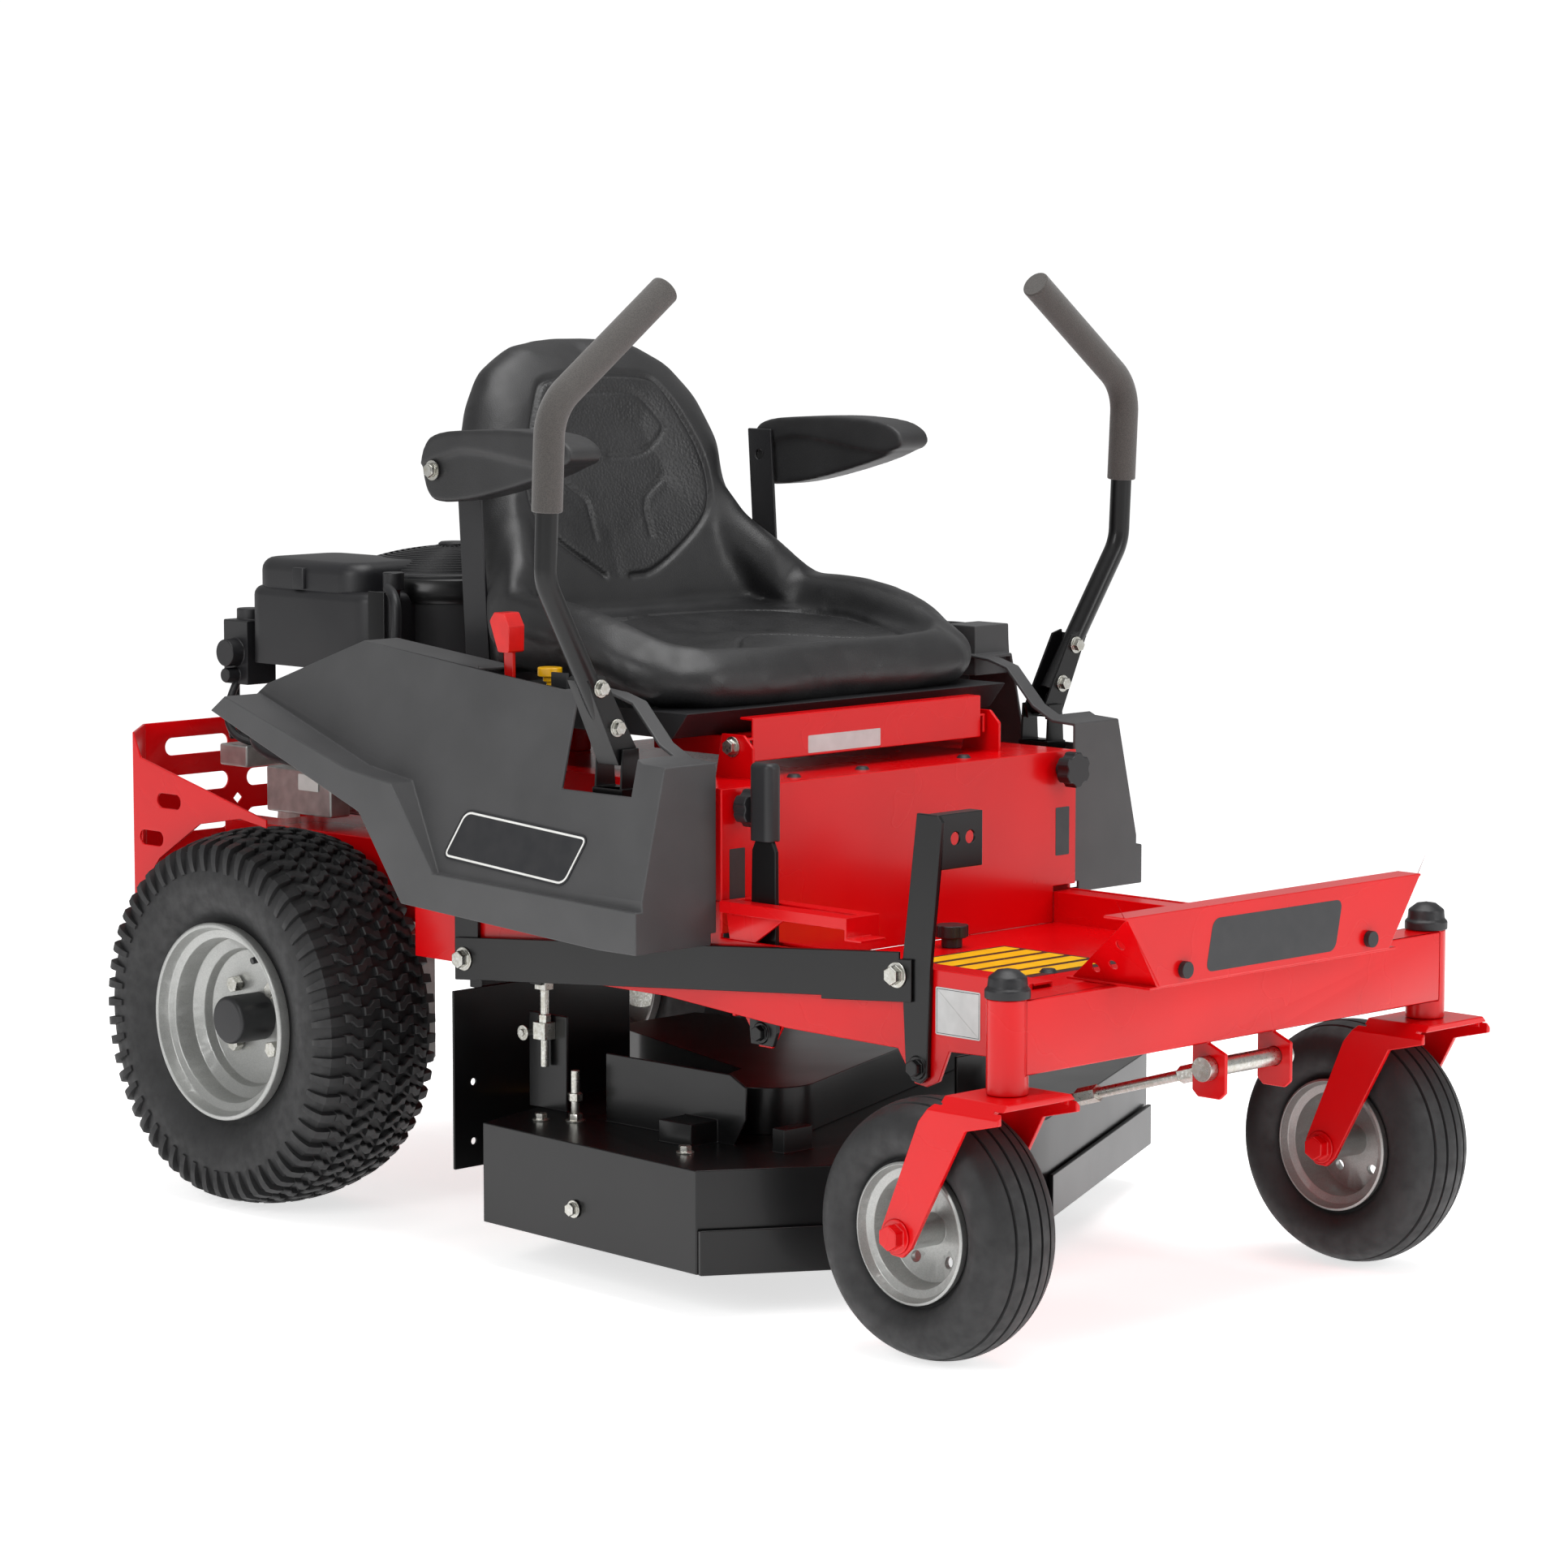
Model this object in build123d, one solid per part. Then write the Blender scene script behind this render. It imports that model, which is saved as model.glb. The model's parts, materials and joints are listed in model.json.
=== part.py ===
from build123d import *
import os

# Zero-turn riding mower. Millimetres, +Z up, front towards -Y, the operator's left towards +X.
# The origin is on the ground, on the machine's centre plane, near the middle of the wheelbase.
# Each sub-part has its own function, and sides that mirror each other are made by side = -1 (right) or 1.

# wheels
rear_axle_y = 582
rear_axle_z = 228
rear_tyre_radius = 228.6      # 18 x 6.50-8 turf tyre
rear_tyre_half_width = 84
rear_wheel_x = 306
rear_bead_radius = 104
caster_pivot_x = 349
caster_pivot_y = -667
caster_axle_y = -570
caster_tyre_radius = 139.7    # 11 x 4-5 ribbed tyre
caster_tyre_half_width = 52
caster_bead_radius = 66
caster_axle_radius = 9.5
axle_radius = 12.5
running_gap = 0.05            # radial clearance of a shaft in its hole

# frame
plate = 5                     # wall of the side plates
sheet = 3                     # wall of bent sheet parts
frame_half_width = 290
rear_rail_half_width = 200
frame_rear_y = 330
rail_end_y = 797
frame_top_z = 440
beam_front_y = -690
beam_rear_y = -644
beam_low_z = 315
beam_high_z = 393
tube_radius = 22
tube_low_z = 294
tube_high_z = 394
floor_z = 362
pan_half_width = 257
pan_wall_z = 399
panel_y = -190
tower_top_z = 565
guard_corner_y = 790
guard_rear_y = 860
hitch_y = 885
hitch_radius = 9.5

# seat
hinge_y = -118
hinge_z = 600
hinge_x = 196
pin_radius = 5
cushion_low_z = 640
cushion_top_z = 716
armrest_pivot_y = 287
armrest_inner_x = 244.5
armrest_outer_x = 294.5
strap_x = 238
armrest_pivot_z = 898

# drive levers
lever_y = -84
control_z = 540
swing_x = 350
swing_z = 600
lever_radius = 12.5
grip_radius = 17

# deck
deck_low_z = 50
deck_top_z = 165
spindles = {-1: (-160, -130), 1: (287, 45)}
blade_radius = 222
blade_z = 68
pulley_radius = 48
cover_radius = 57
cover_top_z = 219
deck_outline = [
    (-375, 116), (-403, -262), (-280, -340), (-215, -381), (-100, -385),
    (99, -322), (524, -105), (527, 150), (430, 260), (287, 290),
]

# deck lift
pedal_y = -490
pedal_z = 293
link_front = (-463, 390)
link_rear = (232, 333)
link_clearance_radius = 12.5     # the link's rear pin wanders in the arm's hole as both swing
lift_shaft_y = 232
lift_shaft_z = 420
hanger_x = -272
hanger_y = 124
height_pivot_y = -235
height_pivot_z = 298
height_lever_x = -273

# engine
pipe_x = -120
engine_y = 585
block_top_z = 600
housing_radius = 148
housing_top_z = 757

turns = {"x": Rot(0, 90, 0), "y": Rot(-90, 0, 0), "z": Rot(0, 0, 0)}
directions = {"x": (1, 0, 0), "y": (0, 1, 0), "z": (0, 0, 1)}


def block(x, y, z):
    """Box between three pairs of limits."""
    middle = Pos((x[0] + x[1]) / 2, (y[0] + y[1]) / 2, (z[0] + z[1]) / 2)
    return middle * Box(abs(x[1] - x[0]), abs(y[1] - y[0]), abs(z[1] - z[0]))


def rod(axis, start, radius, length):
    """Cylinder from a start point along +axis."""
    return Pos(*start) * turns[axis] * Pos(0, 0, length / 2) * Cylinder(radius, length)


def ring(axis, start, outer, inner, length):
    return rod(axis, start, outer, length) - rod(axis, start, inner, length)


def flat(axis, points, low, high):
    """Prism of an outline in the plane across the axis, between two heights along it."""
    place = {"x": lambda a, b: (low, a, b), "y": lambda a, b: (a, low, b), "z": lambda a, b: (a, b, low)}
    face = make_face(Polyline(*[place[axis](a, b) for a, b in points], close=True))
    return extrude(face, amount=high - low, dir=directions[axis])


def side_span(side, inner, outer):
    """Pair of x limits on one side of the machine."""
    return (min(side * inner, side * outer), max(side * inner, side * outer))


def hex_head(axis, start, size, height):
    """Hexagon head or nut, size across flats, standing from start along +axis."""
    outline = RegularPolygon(size / 2, 6, major_radius=False)
    return Pos(*start) * turns[axis] * extrude(outline, amount=height)


def bolt_head(axis, start, size, outwards):
    """Washer and hexagon head on a surface; outwards is the sign of the direction along the axis."""
    washer_height = 2
    head_height = size * 0.5
    x, y, z = start
    step = {"x": (1, 0, 0), "y": (0, 1, 0), "z": (0, 0, 1)}[axis]

    def shifted(distance):
        return (x + step[0] * distance, y + step[1] * distance, z + step[2] * distance)

    if outwards > 0:
        washer = rod(axis, start, size * 0.78, washer_height)
        return washer + hex_head(axis, shifted(washer_height), size, head_height)
    washer = rod(axis, shifted(-washer_height), size * 0.78, washer_height)
    return washer + hex_head(axis, shifted(-washer_height - head_height), size, head_height)


def swept_tube(points, radii, outer, inner=0):
    """Straight runs joined by tangent arcs, swept with a round section."""
    path = FilletPolyline(*points, radius=radii)
    start = Plane(origin=path @ 0, z_dir=path % 0)
    solid = sweep(start * Circle(outer), path=path)
    if inner:
        solid -= sweep(start * Circle(inner), path=path)
    return solid


def joined(pieces):
    """Several separate solids in one node."""
    solids = []
    for piece in pieces:
        solids += piece.solids()
    return Compound(children=solids)


# frame

def main_frame():
    outline = [
        (beam_rear_y, beam_low_z + 2), (-530, 314), (-515, 280), (-497, 272), (-480, 274), (-455, 309),
        (-410, 309), (-287, 311), (-95, 325), (frame_rear_y, 325), (frame_rear_y, frame_top_z),
        (-185, frame_top_z), (-185, 400), (beam_rear_y, 400),
    ]
    body = None
    for side in (-1, 1):
        x = side_span(side, frame_half_width - plate, frame_half_width)
        wall = flat("x", outline, *x)
        step_x = side_span(side, rear_rail_half_width - plate, frame_half_width)
        wall += block(step_x, (frame_rear_y - plate, frame_rear_y), (325, frame_top_z))
        rail_x = side_span(side, rear_rail_half_width - plate, rear_rail_half_width)
        wall += block(rail_x, (frame_rear_y - plate, rail_end_y), (345, frame_top_z))
        body = wall if body is None else body + wall
    inner = frame_half_width - plate
    body += block((-inner, inner), (-187, frame_rear_y), (frame_top_z - sheet, frame_top_z))
    rail_inner = rear_rail_half_width - plate
    rail_span = (frame_rear_y - plate, rail_end_y)
    body += block((-rail_inner, rail_inner), rail_span, (frame_top_z - 4, frame_top_z))
    body += block((-inner, inner), (-460, -420), (335, 358))
    body -= rod("x", (-300, lift_shaft_y, lift_shaft_z), axle_radius + running_gap, 600)
    body -= rod("x", (-300, pedal_y, pedal_z), 8 + running_gap, 20)
    body -= rod("z", (0, engine_y, 430), 30, 20)
    body += block((-rail_inner, rail_inner), (rail_end_y - plate, rail_end_y), (340, frame_top_z))
    body += block((-100, 100), (rail_end_y - plate, guard_rear_y), (340, 346))
    body += block((-40, 40), (guard_rear_y, hitch_y + 25), (340, 346))
    body -= rod("z", (0, hitch_y, 335), hitch_radius, 20)
    body -= block((pipe_x - 30, pipe_x + 30), (742, rail_end_y + 1), (350, frame_top_z + 1))
    ear_outline = [(-262, 311), (-242, 280), (-222, 280), (-199, 312), (-199, 330), (-262, 330)]
    ear = flat("x", ear_outline, -267, -263)
    ear += block((-286, -263), (-204, -199), (314, 330))
    ear -= rod("x", (-280, height_pivot_y, height_pivot_z), 8 + running_gap, 30)
    body += ear
    return body


def front_beam():
    low, high = beam_low_z, beam_high_z
    span = caster_pivot_x - 4
    body = block((-span, span), (beam_front_y, beam_rear_y), (low, high))
    body -= block((-span + 30, span - 30), (beam_front_y + 4, beam_rear_y - 4), (low + 4, high - 4))
    for side in (-1, 1):
        pivot = (side * caster_pivot_x, caster_pivot_y, tube_low_z)
        body += rod("z", pivot, tube_radius, tube_high_z - tube_low_z)
        body -= rod("z", pivot, 13 + running_gap, tube_high_z - tube_low_z)
    ear_outline = [(-714, 262), (-706, 255), (-676, 255), (-668, 262), (-668, low), (-690, low), (-714, 305)]
    for x in (-57, 52):
        ear = flat("x", ear_outline, x, x + 5)
        body += ear - rod("x", (x, -692, 288), 10 + running_gap, 5)
    return body


def floor_pan():
    front = beam_rear_y
    half = pan_half_width
    body = block((-half, half), (front, panel_y), (floor_z - 3, floor_z))
    for side in (-1, 1):
        body += block(side_span(side, half - 3, half), (front, panel_y), (floor_z - 3, pan_wall_z))
        body += block(side_span(side, half - 3, 283), (front, panel_y), (pan_wall_z - 3, pan_wall_z))
    return body - block((-283, -262), (-410, panel_y), (pan_wall_z - 3, pan_wall_z))


def front_step_plate():
    top, low = 473, 396
    front = -738
    face = flat("y", [(-246, top), (246, top), (192, low), (-192, low)], front, front + 4)
    face += block((-246, 246), (front, front + 32), (top - 3, top))
    face += block((-206, 206), (front + 2, -620), (beam_high_z, low))
    for side in (-1, 1):
        corner = [(side * 244, front + 2, top - 1.5), (side * 194, front + 2, low - 1.5),
                  (side * 203, -624, low - 1.5)]
        gusset = extrude(make_face(Polyline(*corner, close=True)), amount=3, dir=(-side, 0, 0))
        for y, z in ((-712, 440), (-690, 416), (-664, 410)):
            gusset -= rod("x", (side * 210 - 40, y, z), 5, 80)
        face += gusset
        face -= rod("y", (side * 155, front - 5, 410), 4.5, 20)
    return face


def seat_tower():
    half = 293
    wall_half = 288
    body = block((-half, half), (panel_y, panel_y + 3), (405, tower_top_z))
    body += block((-pan_half_width + 3, pan_half_width - 3), (panel_y, panel_y + 3), (floor_z, 405))
    body += block((-wall_half, wall_half), (panel_y, 250), (tower_top_z - 3, tower_top_z))
    for side in (-1, 1):
        wall = block(side_span(side, wall_half - 3, wall_half), (panel_y, 250), (frame_top_z, tower_top_z))
        body += wall
        ear_outline = [(-150, tower_top_z), (-90, tower_top_z), (-100, 614), (-135, 614), (-150, 600)]
        ear = flat("x", ear_outline, *side_span(side, hinge_x + 5, hinge_x + 9))
        ear -= rod("x", (side * (hinge_x + 7) - 10, hinge_y, hinge_z), pin_radius, 20)
        body += ear
        body -= rod("y", (side * 266, panel_y - 5, 544), 6 + running_gap, 20)
    return body


# side outline of a rear fender, from the front foot round the wheel arch and back over the top
fender_outline = [
    (-185, 393), (-124, 393), (205, 412), (278, 511), (547, 609), (509, 640), (348, 700),
    (-45, 663), (-75, 655), (-118, 612), (-149, 597), (-185, 595),
]
skirt_outline = [
    (-185, 393), (-124, 393), (205, 412), (278, 511), (547, 609), (520, 628), (300, 560), (221, 549),
    (150, 452), (-185, 440),
]


def fender(side):
    """Hollow moulded fender, open below and towards the seat tower."""
    outer_x, panel_x, inner_x = 419, 409, 296
    wall = 4

    def shell(inset):
        low = side * inner_x if not inset else side * (inner_x - 20)
        body_face = offset(flat_face(fender_outline, low), amount=-inset, kind=Kind.INTERSECTION)
        skirt_face = offset(flat_face(skirt_outline, low), amount=-inset, kind=Kind.INTERSECTION)
        start = abs(low)
        body = extrude(body_face, amount=panel_x - inset - start, dir=(side, 0, 0))
        skirt = extrude(skirt_face, amount=outer_x - inset - start, dir=(side, 0, 0))
        crease = (side * (panel_x - inset), 0, 452)
        lean = Plane(origin=crease, x_dir=(0, 1, 0), z_dir=(side * 0.972, 0, 0.235))
        body -= lean * Pos(0, 0, 200) * Box(2500, 900, 400)
        return body + skirt

    def flat_face(points, x):
        return make_face(Polyline(*[(x, y, z) for y, z in points], close=True))

    body = shell(0)
    body -= shell(wall)
    body -= block(side_span(side, 280, 410), (-170, 190), (380, 410))
    body -= block(side_span(side, 280, 304), (-190, 300), (380, 406))
    body -= flat("x", [(215, 380), (200, 420), (276, 520), (530, 612), (560, 600), (300, 380)],
                 *side_span(side, 280, 404))
    body -= block(side_span(side, 318, 410), (-140, -28), (560, 720))
    if side < 0:
        body -= block((-352, -290), (0, 145), (640, 720))
        console = block((-358, -296), (-6, 151), (650, 653))
        console -= block((-334, -326), (82, 142), (640, 660))
        console -= rod("z", (-308, 72, 640), 4 + running_gap, 20)
        console -= rod("z", (-330, 31, 640), 4 + running_gap, 20)
        body += console
    else:
        cup = rod("z", (345, 90, 612), 46, 82) - rod("z", (345, 90, 616), 42, 90)
        body -= rod("z", (345, 90, 612), 44, 90)
        body += cup
        body += block((300, 360), (-20, 30), (640, 700)) - block((304, 356), (-16, 26), (630, 696))
    return body


def rear_guard():
    half = 348
    low, high = 350, 560
    corner = guard_rear_y - guard_corner_y
    flat_half = half - corner
    strip = [(-half, guard_corner_y), (-flat_half, guard_rear_y),
             (flat_half, guard_rear_y), (half, guard_corner_y)]
    inset = [(half - 3, guard_corner_y), (flat_half - 1.3, guard_rear_y - 3),
             (1.3 - flat_half, guard_rear_y - 3), (3 - half, guard_corner_y)]
    body = flat("z", strip + inset, low, high)
    top_edge = [(guard_corner_y, high), (guard_corner_y - 14, 530), (700, 512), (533, 473)]
    arch = [(533, 463), (582, 470), (660, 457), (740, 408), (guard_corner_y, low)]
    across = turns["x"] * Rot(0, 0, 90)
    for side in (-1, 1):
        wall = flat("x", top_edge + arch, *side_span(side, half - 3, half))
        for y, z in ((720, 480), (755, 432)):
            wall -= Pos(side * half - 10, y, z) * across * extrude(SlotOverall(46, 18), amount=20)
        for z in (380, 425, 470, 515):
            middle = (half + flat_half) / 2
            cut = Rot(0, 0, 45 * side) * turns["y"] * Pos(0, 0, -20) * extrude(SlotOverall(46, 18), amount=40)
            body -= Pos(side * middle, (guard_corner_y + guard_rear_y) / 2, z) * cut
        body += wall
    for row_z in (430, 480, 528):
        for column in (-1.5, -0.5, 0.5, 1.5):
            slot = extrude(SlotOverall(100, 22), amount=20)
            body -= Pos(column * 130, guard_rear_y - 10, row_z) * turns["y"] * slot
    for column in (-1, 0, 1):
        for z in (455, 505):
            diamond = extrude(Rot(0, 0, 45) * Rectangle(10, 10), amount=20)
            body -= Pos(column * 130, guard_rear_y - 10, z) * turns["y"] * diamond
    body += block((-100, 100), (rail_end_y, guard_rear_y), (346, low))
    return body - rod("y", (pipe_x, guard_rear_y - 10, 362), 30, 20)


def quadrant_bracket():
    body = block((-300, -248), (-385, -193), (440, 443))
    body -= block((-279, -267), (-375, -200), (435, 450))
    body += block((-300, -248), (-388, -385), (418, 443))
    body += block((-300, -262), (-410, -385), (418, 421))
    body += block((-300, -297), (-385, -193), (430, 443))
    body += flat("x", [(-193, 440), (-300, 440), (-240, 400), (-200, 400)], -291, -287)
    return body


def caster_caps():
    pieces = []
    for side in (-1, 1):
        profile = Polyline((0, 0), (24, 0), (24, 9), (21, 12), (20, 22), (11, 29), (0, 31), close=True)
        dome = revolve(Plane.XZ * make_face(profile), axis=Axis.Z)
        pieces.append(Pos(side * caster_pivot_x, caster_pivot_y, tube_high_z) * dome)
    stem = rod("z", (25, -240, floor_z), 12, 12)
    star = extrude(Circle(19), amount=14)
    for turn in range(6):
        star -= Rot(0, 0, 60 * turn) * Pos(24, 0, 0) * Cylinder(7, 40)
    pieces.append(stem + Pos(25, -240, floor_z + 12) * star)
    return joined(pieces)


def rear_baffle():
    body = block((-330, -50), (216, 219), (90, 300))
    body += block((-60, -50), (219, 320), (215, 300))
    for y, z in ((-300, 120), (-270, 120), (-300, 190)):
        body -= rod("y", (y, 210, z), 4, 20)
    body += block((-284, -200), (219, 240), (297, 325))
    return body


# engine and drive

def engine_block():
    pieces = []
    case = rod("z", (0, engine_y, frame_top_z), 104, block_top_z - frame_top_z)
    case += block((-170, -60), (600, 716), (462, 545))
    for fin in range(8):
        case += block((-150 + fin * 9, -146 + fin * 9), (594, 722), (456, 551))
    case += block((-200, -168), (590, 714), (457, 513))
    case += block((-200, -120), (752, 806), (507, 534)) + block((-140, -120), (714, 760), (507, 534))
    case -= rod("z", (0, engine_y, 430), axle_radius + running_gap, 100)
    pieces.append(case)
    motor = rod("z", (150, 500, frame_top_z), 32, 140)
    motor += rod("z", (150, 500, frame_top_z + 140), 26, 14)
    pieces.append(motor)
    return joined(pieces)


def blower_housing():
    body = rod("z", (0, engine_y, block_top_z), housing_radius, housing_top_z - block_top_z)
    body += block((-30, 146), (engine_y, engine_y + 150), (block_top_z, 720))
    screen = rod("z", (0, engine_y, housing_top_z), 132, 8)
    for step in range(10):
        outer = 126 - step * 12
        screen += ring("z", (0, engine_y, housing_top_z + 8), outer, max(outer - 7, 0.5), 6 + step * 2)
    screen += rod("z", (0, engine_y, housing_top_z + 8), 13, 22)
    return joined([body, screen])


def air_filter_cover():
    body = block((-200, -40), (535, 752), (652, 736))
    body = fillet(body.edges().filter_by(Axis.Z), 18)
    body = fillet(body.faces().sort_by(Axis.Z)[-1].edges(), 8)
    body += block((-190, -60), (560, 735), (736, 768))
    body += rod("z", (-178, 640, 768), 9, 6)
    return body - rod("z", (0, engine_y, 600), housing_radius, 190)


def muffler():
    radius = 68
    y, z = 878, 252
    shell = rod("x", (-240, y, z), radius, 190)
    can = fillet(shell.edges().filter_by(GeomType.CIRCLE), 22)
    route = [(pipe_x, 722, 490), (pipe_x, 762, 490), (pipe_x, 772, 410), (pipe_x, 858, 304)]
    pipe = swept_tube(route, [24, 30], 14, 12) - shell
    strap = block((-230, -200), (guard_rear_y, guard_rear_y + 4), (352, 420))
    strap += block((-230, -200), (guard_rear_y, y), (348, 352)) + block((-230, -200), (y - 4, y), (316, 350))
    return joined([can, pipe, strap - shell])


def carburettor():
    pieces = []
    body = block((-196, -150), (753, 800), (610, 690))
    body += rod("z", (-173, 776, 690), 16, 14)
    body += rod("x", (-214, 776, 650), 17, 18)
    body += rod("x", (-214, 776, 622), 9, 18)
    pieces.append(body)
    hose_route = [(-173, 740, 560), (-173, 753, 545), (-185, 775, 545), (-185, 790, 565), (-185, 790, 610)]
    hose = swept_tube(hose_route, [8, 8, 8], 5)
    pieces.append(hose)
    stick = rod("z", (-166, 508, frame_top_z), 8, 300) + rod("z", (-166, 508, frame_top_z + 300), 13, 22)
    pieces.append(stick)
    return joined(pieces)


def transaxles():
    pieces = []
    for side in (-1, 1):
        case = block(side_span(side, 110, 190), (500, 660), (160, 320))
        case += block(side_span(side, 90, 194), (520, 640), (320, 345))
        case += rod("x", (side * 200 - (20 if side > 0 else 0), rear_axle_y, rear_axle_z), 45, 20)
        case = case - rod("x", (side * 170 - 40, rear_axle_y, rear_axle_z), axle_radius + running_gap, 80)
        pieces.append(case)
    return joined(pieces)


def battery():
    body = block((-110, 90), (-120, 10), (frame_top_z, 548))
    for x in (-90, 60):
        body += block((x, x + 16), (-110, -94), (548, 558))
    return body


def fuel_tank():
    body = block((-220, 230), (60, 225), (frame_top_z, 552))
    body = fillet(body.edges().filter_by(Axis.Z), 25)
    return body


def frame_fasteners():
    pieces = []
    for side in (-1, 1):
        pieces.append(bolt_head("x", (side * (hinge_x + 9), hinge_y, hinge_z), 15, side))
        pin_x = (hinge_x - 6) if side > 0 else -(hinge_x + 9)
        pieces.append(rod("x", (pin_x, hinge_y, hinge_z), pin_radius, 15))
        pieces.append(rod("y", (side * 155, -745, 410), 9, 7))
        arm_pin = side_span(side, 288, 372)
        pieces.append(rod("x", (arm_pin[0], lever_y, control_z), 10, 84))
    for x, y in ((-60, 330 + 60), (60, 390), (-60, 480), (60, 480)):
        pieces.append(bolt_head("z", (x, y, frame_top_z), 13, 1))
    return joined(pieces)


def crank_pulleys():
    body = rod("z", (0, engine_y, 345), axle_radius, 170)
    for low, radius in ((405, 55), (352, 62)):
        groove = Polyline((axle_radius, 0), (radius, 0), (radius - 10, 9), (radius, 18), (axle_radius, 18),
                          close=True)
        wheel = revolve(Plane.XZ * make_face(groove), axis=Axis.Z)
        body += Pos(0, engine_y, low) * wheel
    body += rod("z", (0, engine_y, 374), 52, 28)
    return body


# wheels

def turned(profile, x, y, z):
    """Revolve a closed (across, radius) profile about the wheel axle along X."""
    face = make_face(profile)
    return Pos(x, y, z) * revolve(face, axis=Axis.X)


def tyre(centre, half, radius, bead, flange, seat, wall, crown):
    """Open carcass: beads stand on the rim between its flanges, seat is half the distance between them."""
    shoulder = radius - crown
    waist = (flange + shoulder) / 2
    tread = half - 8
    outer = [
        Line((-seat, bead), (-seat, flange)),
        ThreePointArc((-seat, flange), (-half, waist), (-tread, shoulder)),
        ThreePointArc((-tread, shoulder), (0, radius), (tread, shoulder)),
        ThreePointArc((tread, shoulder), (half, waist), (seat, flange)),
        Line((seat, flange), (seat, bead)),
    ]
    inner = [
        Line((seat, bead), (seat - wall, bead)),
        ThreePointArc((seat - wall, bead), (half - wall, waist), (tread - wall, shoulder - wall)),
        ThreePointArc((tread - wall, shoulder - wall), (0, radius - wall), (wall - tread, shoulder - wall)),
        ThreePointArc((wall - tread, shoulder - wall), (wall - half, waist), (wall - seat, bead)),
        Line((wall - seat, bead), (-seat, bead)),
    ]
    return turned(Wire(outer + inner), *centre)


def rear_tyre(side):
    centre = (side * rear_wheel_x, rear_axle_y, rear_axle_z)
    return tyre(centre, rear_tyre_half_width, rear_tyre_radius, rear_bead_radius, 121, 64.8, 9, 13)


def caster_tyre(side):
    centre = (side * caster_pivot_x, caster_axle_y, caster_tyre_radius)
    return tyre(centre, caster_tyre_half_width, caster_tyre_radius, caster_bead_radius, 77, 33.8, 8, 14)


def rear_rim(side):
    """Stamped wheel: barrel with two flanges and a deep stepped dish; the dish opens outwards."""
    rim = Polyline(
        (-65, 104), (-65, 118), (-80, 120), (-82, 118), (-82, 114), (-68, 110), (-66, 100), (-40, 98),
        (-34, 84), (-22, 82), (-18, 66), (-14, 30), (-14, 12.6), (-10, 12.6), (-10, 30), (-14, 68),
        (-18, 86), (-30, 88), (-36, 101), (0, 101), (62, 101), (66, 112), (78, 114), (78, 118), (65, 118),
        (65, 104), close=True)
    body = turned(rim, 0, 0, 0)
    for turn in range(4):
        body -= Rot(45 + 90 * turn, 0, 0) * rod("x", (-25, 0, 50.8), 6, 20)
    placed = body if side < 0 else mirror(body, about=Plane.YZ)
    return Pos(side * rear_wheel_x, rear_axle_y, rear_axle_z) * placed


def rear_hub(side):
    """Axle, hub flange, lug nuts and the black cap on the axle's end."""
    body = rod("x", (-14, 0, 0), 12.5, 150)
    body += rod("x", (-10, 0, 0), 62, 8)
    body += rod("x", (-2, 0, 0), 30, 30)
    cap = rod("x", (-66, 0, 0), 29, 52)
    cap = fillet(cap.edges().filter_by(GeomType.CIRCLE).group_by(Axis.X)[0], 5)
    pieces = [body, cap]
    for turn in range(4):
        stud = rod("x", (-24, 0, 50.8), 5.8, 14) + hex_head("x", (-30, 0, 50.8), 18, 11)
        pieces.append(Rot(45 + 90 * turn, 0, 0) * stud)
    placed = joined(pieces)
    placed = placed if side < 0 else mirror(placed, about=Plane.YZ)
    return Pos(side * rear_wheel_x, rear_axle_y, rear_axle_z) * placed


def caster_rim(side):
    rim = Polyline(
        (-34, 66), (-34, 74), (-44, 76), (-46, 73), (-36, 69), (-34, 60), (-12, 56), (-6, 30), (-6, 17),
        (-49, 17), (-49, caster_axle_radius + running_gap), (49, caster_axle_radius + running_gap), (49, 17),
        (0, 17), (0, 30), (-6, 60), (34, 60), (36, 69), (46, 73), (44, 76), (34, 74), (34, 66), close=True)
    body = turned(rim, 0, 0, 0)
    for turn in range(5):
        body -= Rot(72 * turn, 0, 0) * rod("x", (-20, 0, 40), 6, 30)
    placed = body if side < 0 else mirror(body, about=Plane.YZ)
    return Pos(side * caster_pivot_x, caster_axle_y, caster_tyre_radius) * placed


def caster_fork(side):
    """Stem, bent top plate and two legs that trail back to the axle, with the axle bolt."""
    x = side * caster_pivot_x
    inner, outer = 57, 63
    top = tube_low_z - 0.5
    leg = [(-712, top), (-625, top), (-600, 265), (-548, 146), (-551, 130), (-563, 119), (-578, 118),
           (-590, 129),
           (-665, 262), (-712, top - 20)]
    body = block((x - outer, x + outer), (-712, -625), (top - 7, top))
    for low, high in ((x - outer, x - inner), (x + inner, x + outer)):
        body += flat("x", leg, low, high)
    for edge in (-1, 1):
        bend = [(edge * outer + x, top), (edge * (outer - 14) + x, top), (edge * outer + x, top - 14)]
        body -= flat("y", bend, -760, -500)
        web = [(edge * inner + x, top - 14), (edge * outer + x, top - 14), (edge * (outer - 14) + x, top),
               (edge * (inner - 14) + x, top - 1), (edge * (inner - 14) + x, top - 7)]
        body += flat("y", web, -700, -628)
    body += rod("z", (x, caster_pivot_y, top), 13, 97)
    axle = rod("x", (x - outer - 6, caster_axle_y, caster_tyre_radius), caster_axle_radius, 2 * outer + 12)
    axle += bolt_head("x", (x - outer, caster_axle_y, caster_tyre_radius), 24, -1)
    axle += bolt_head("x", (x + outer, caster_axle_y, caster_tyre_radius), 24, 1)
    body -= rod("x", (x - outer, caster_axle_y, caster_tyre_radius), caster_axle_radius, 2 * outer)
    return joined([body, axle])


# drive levers

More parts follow.
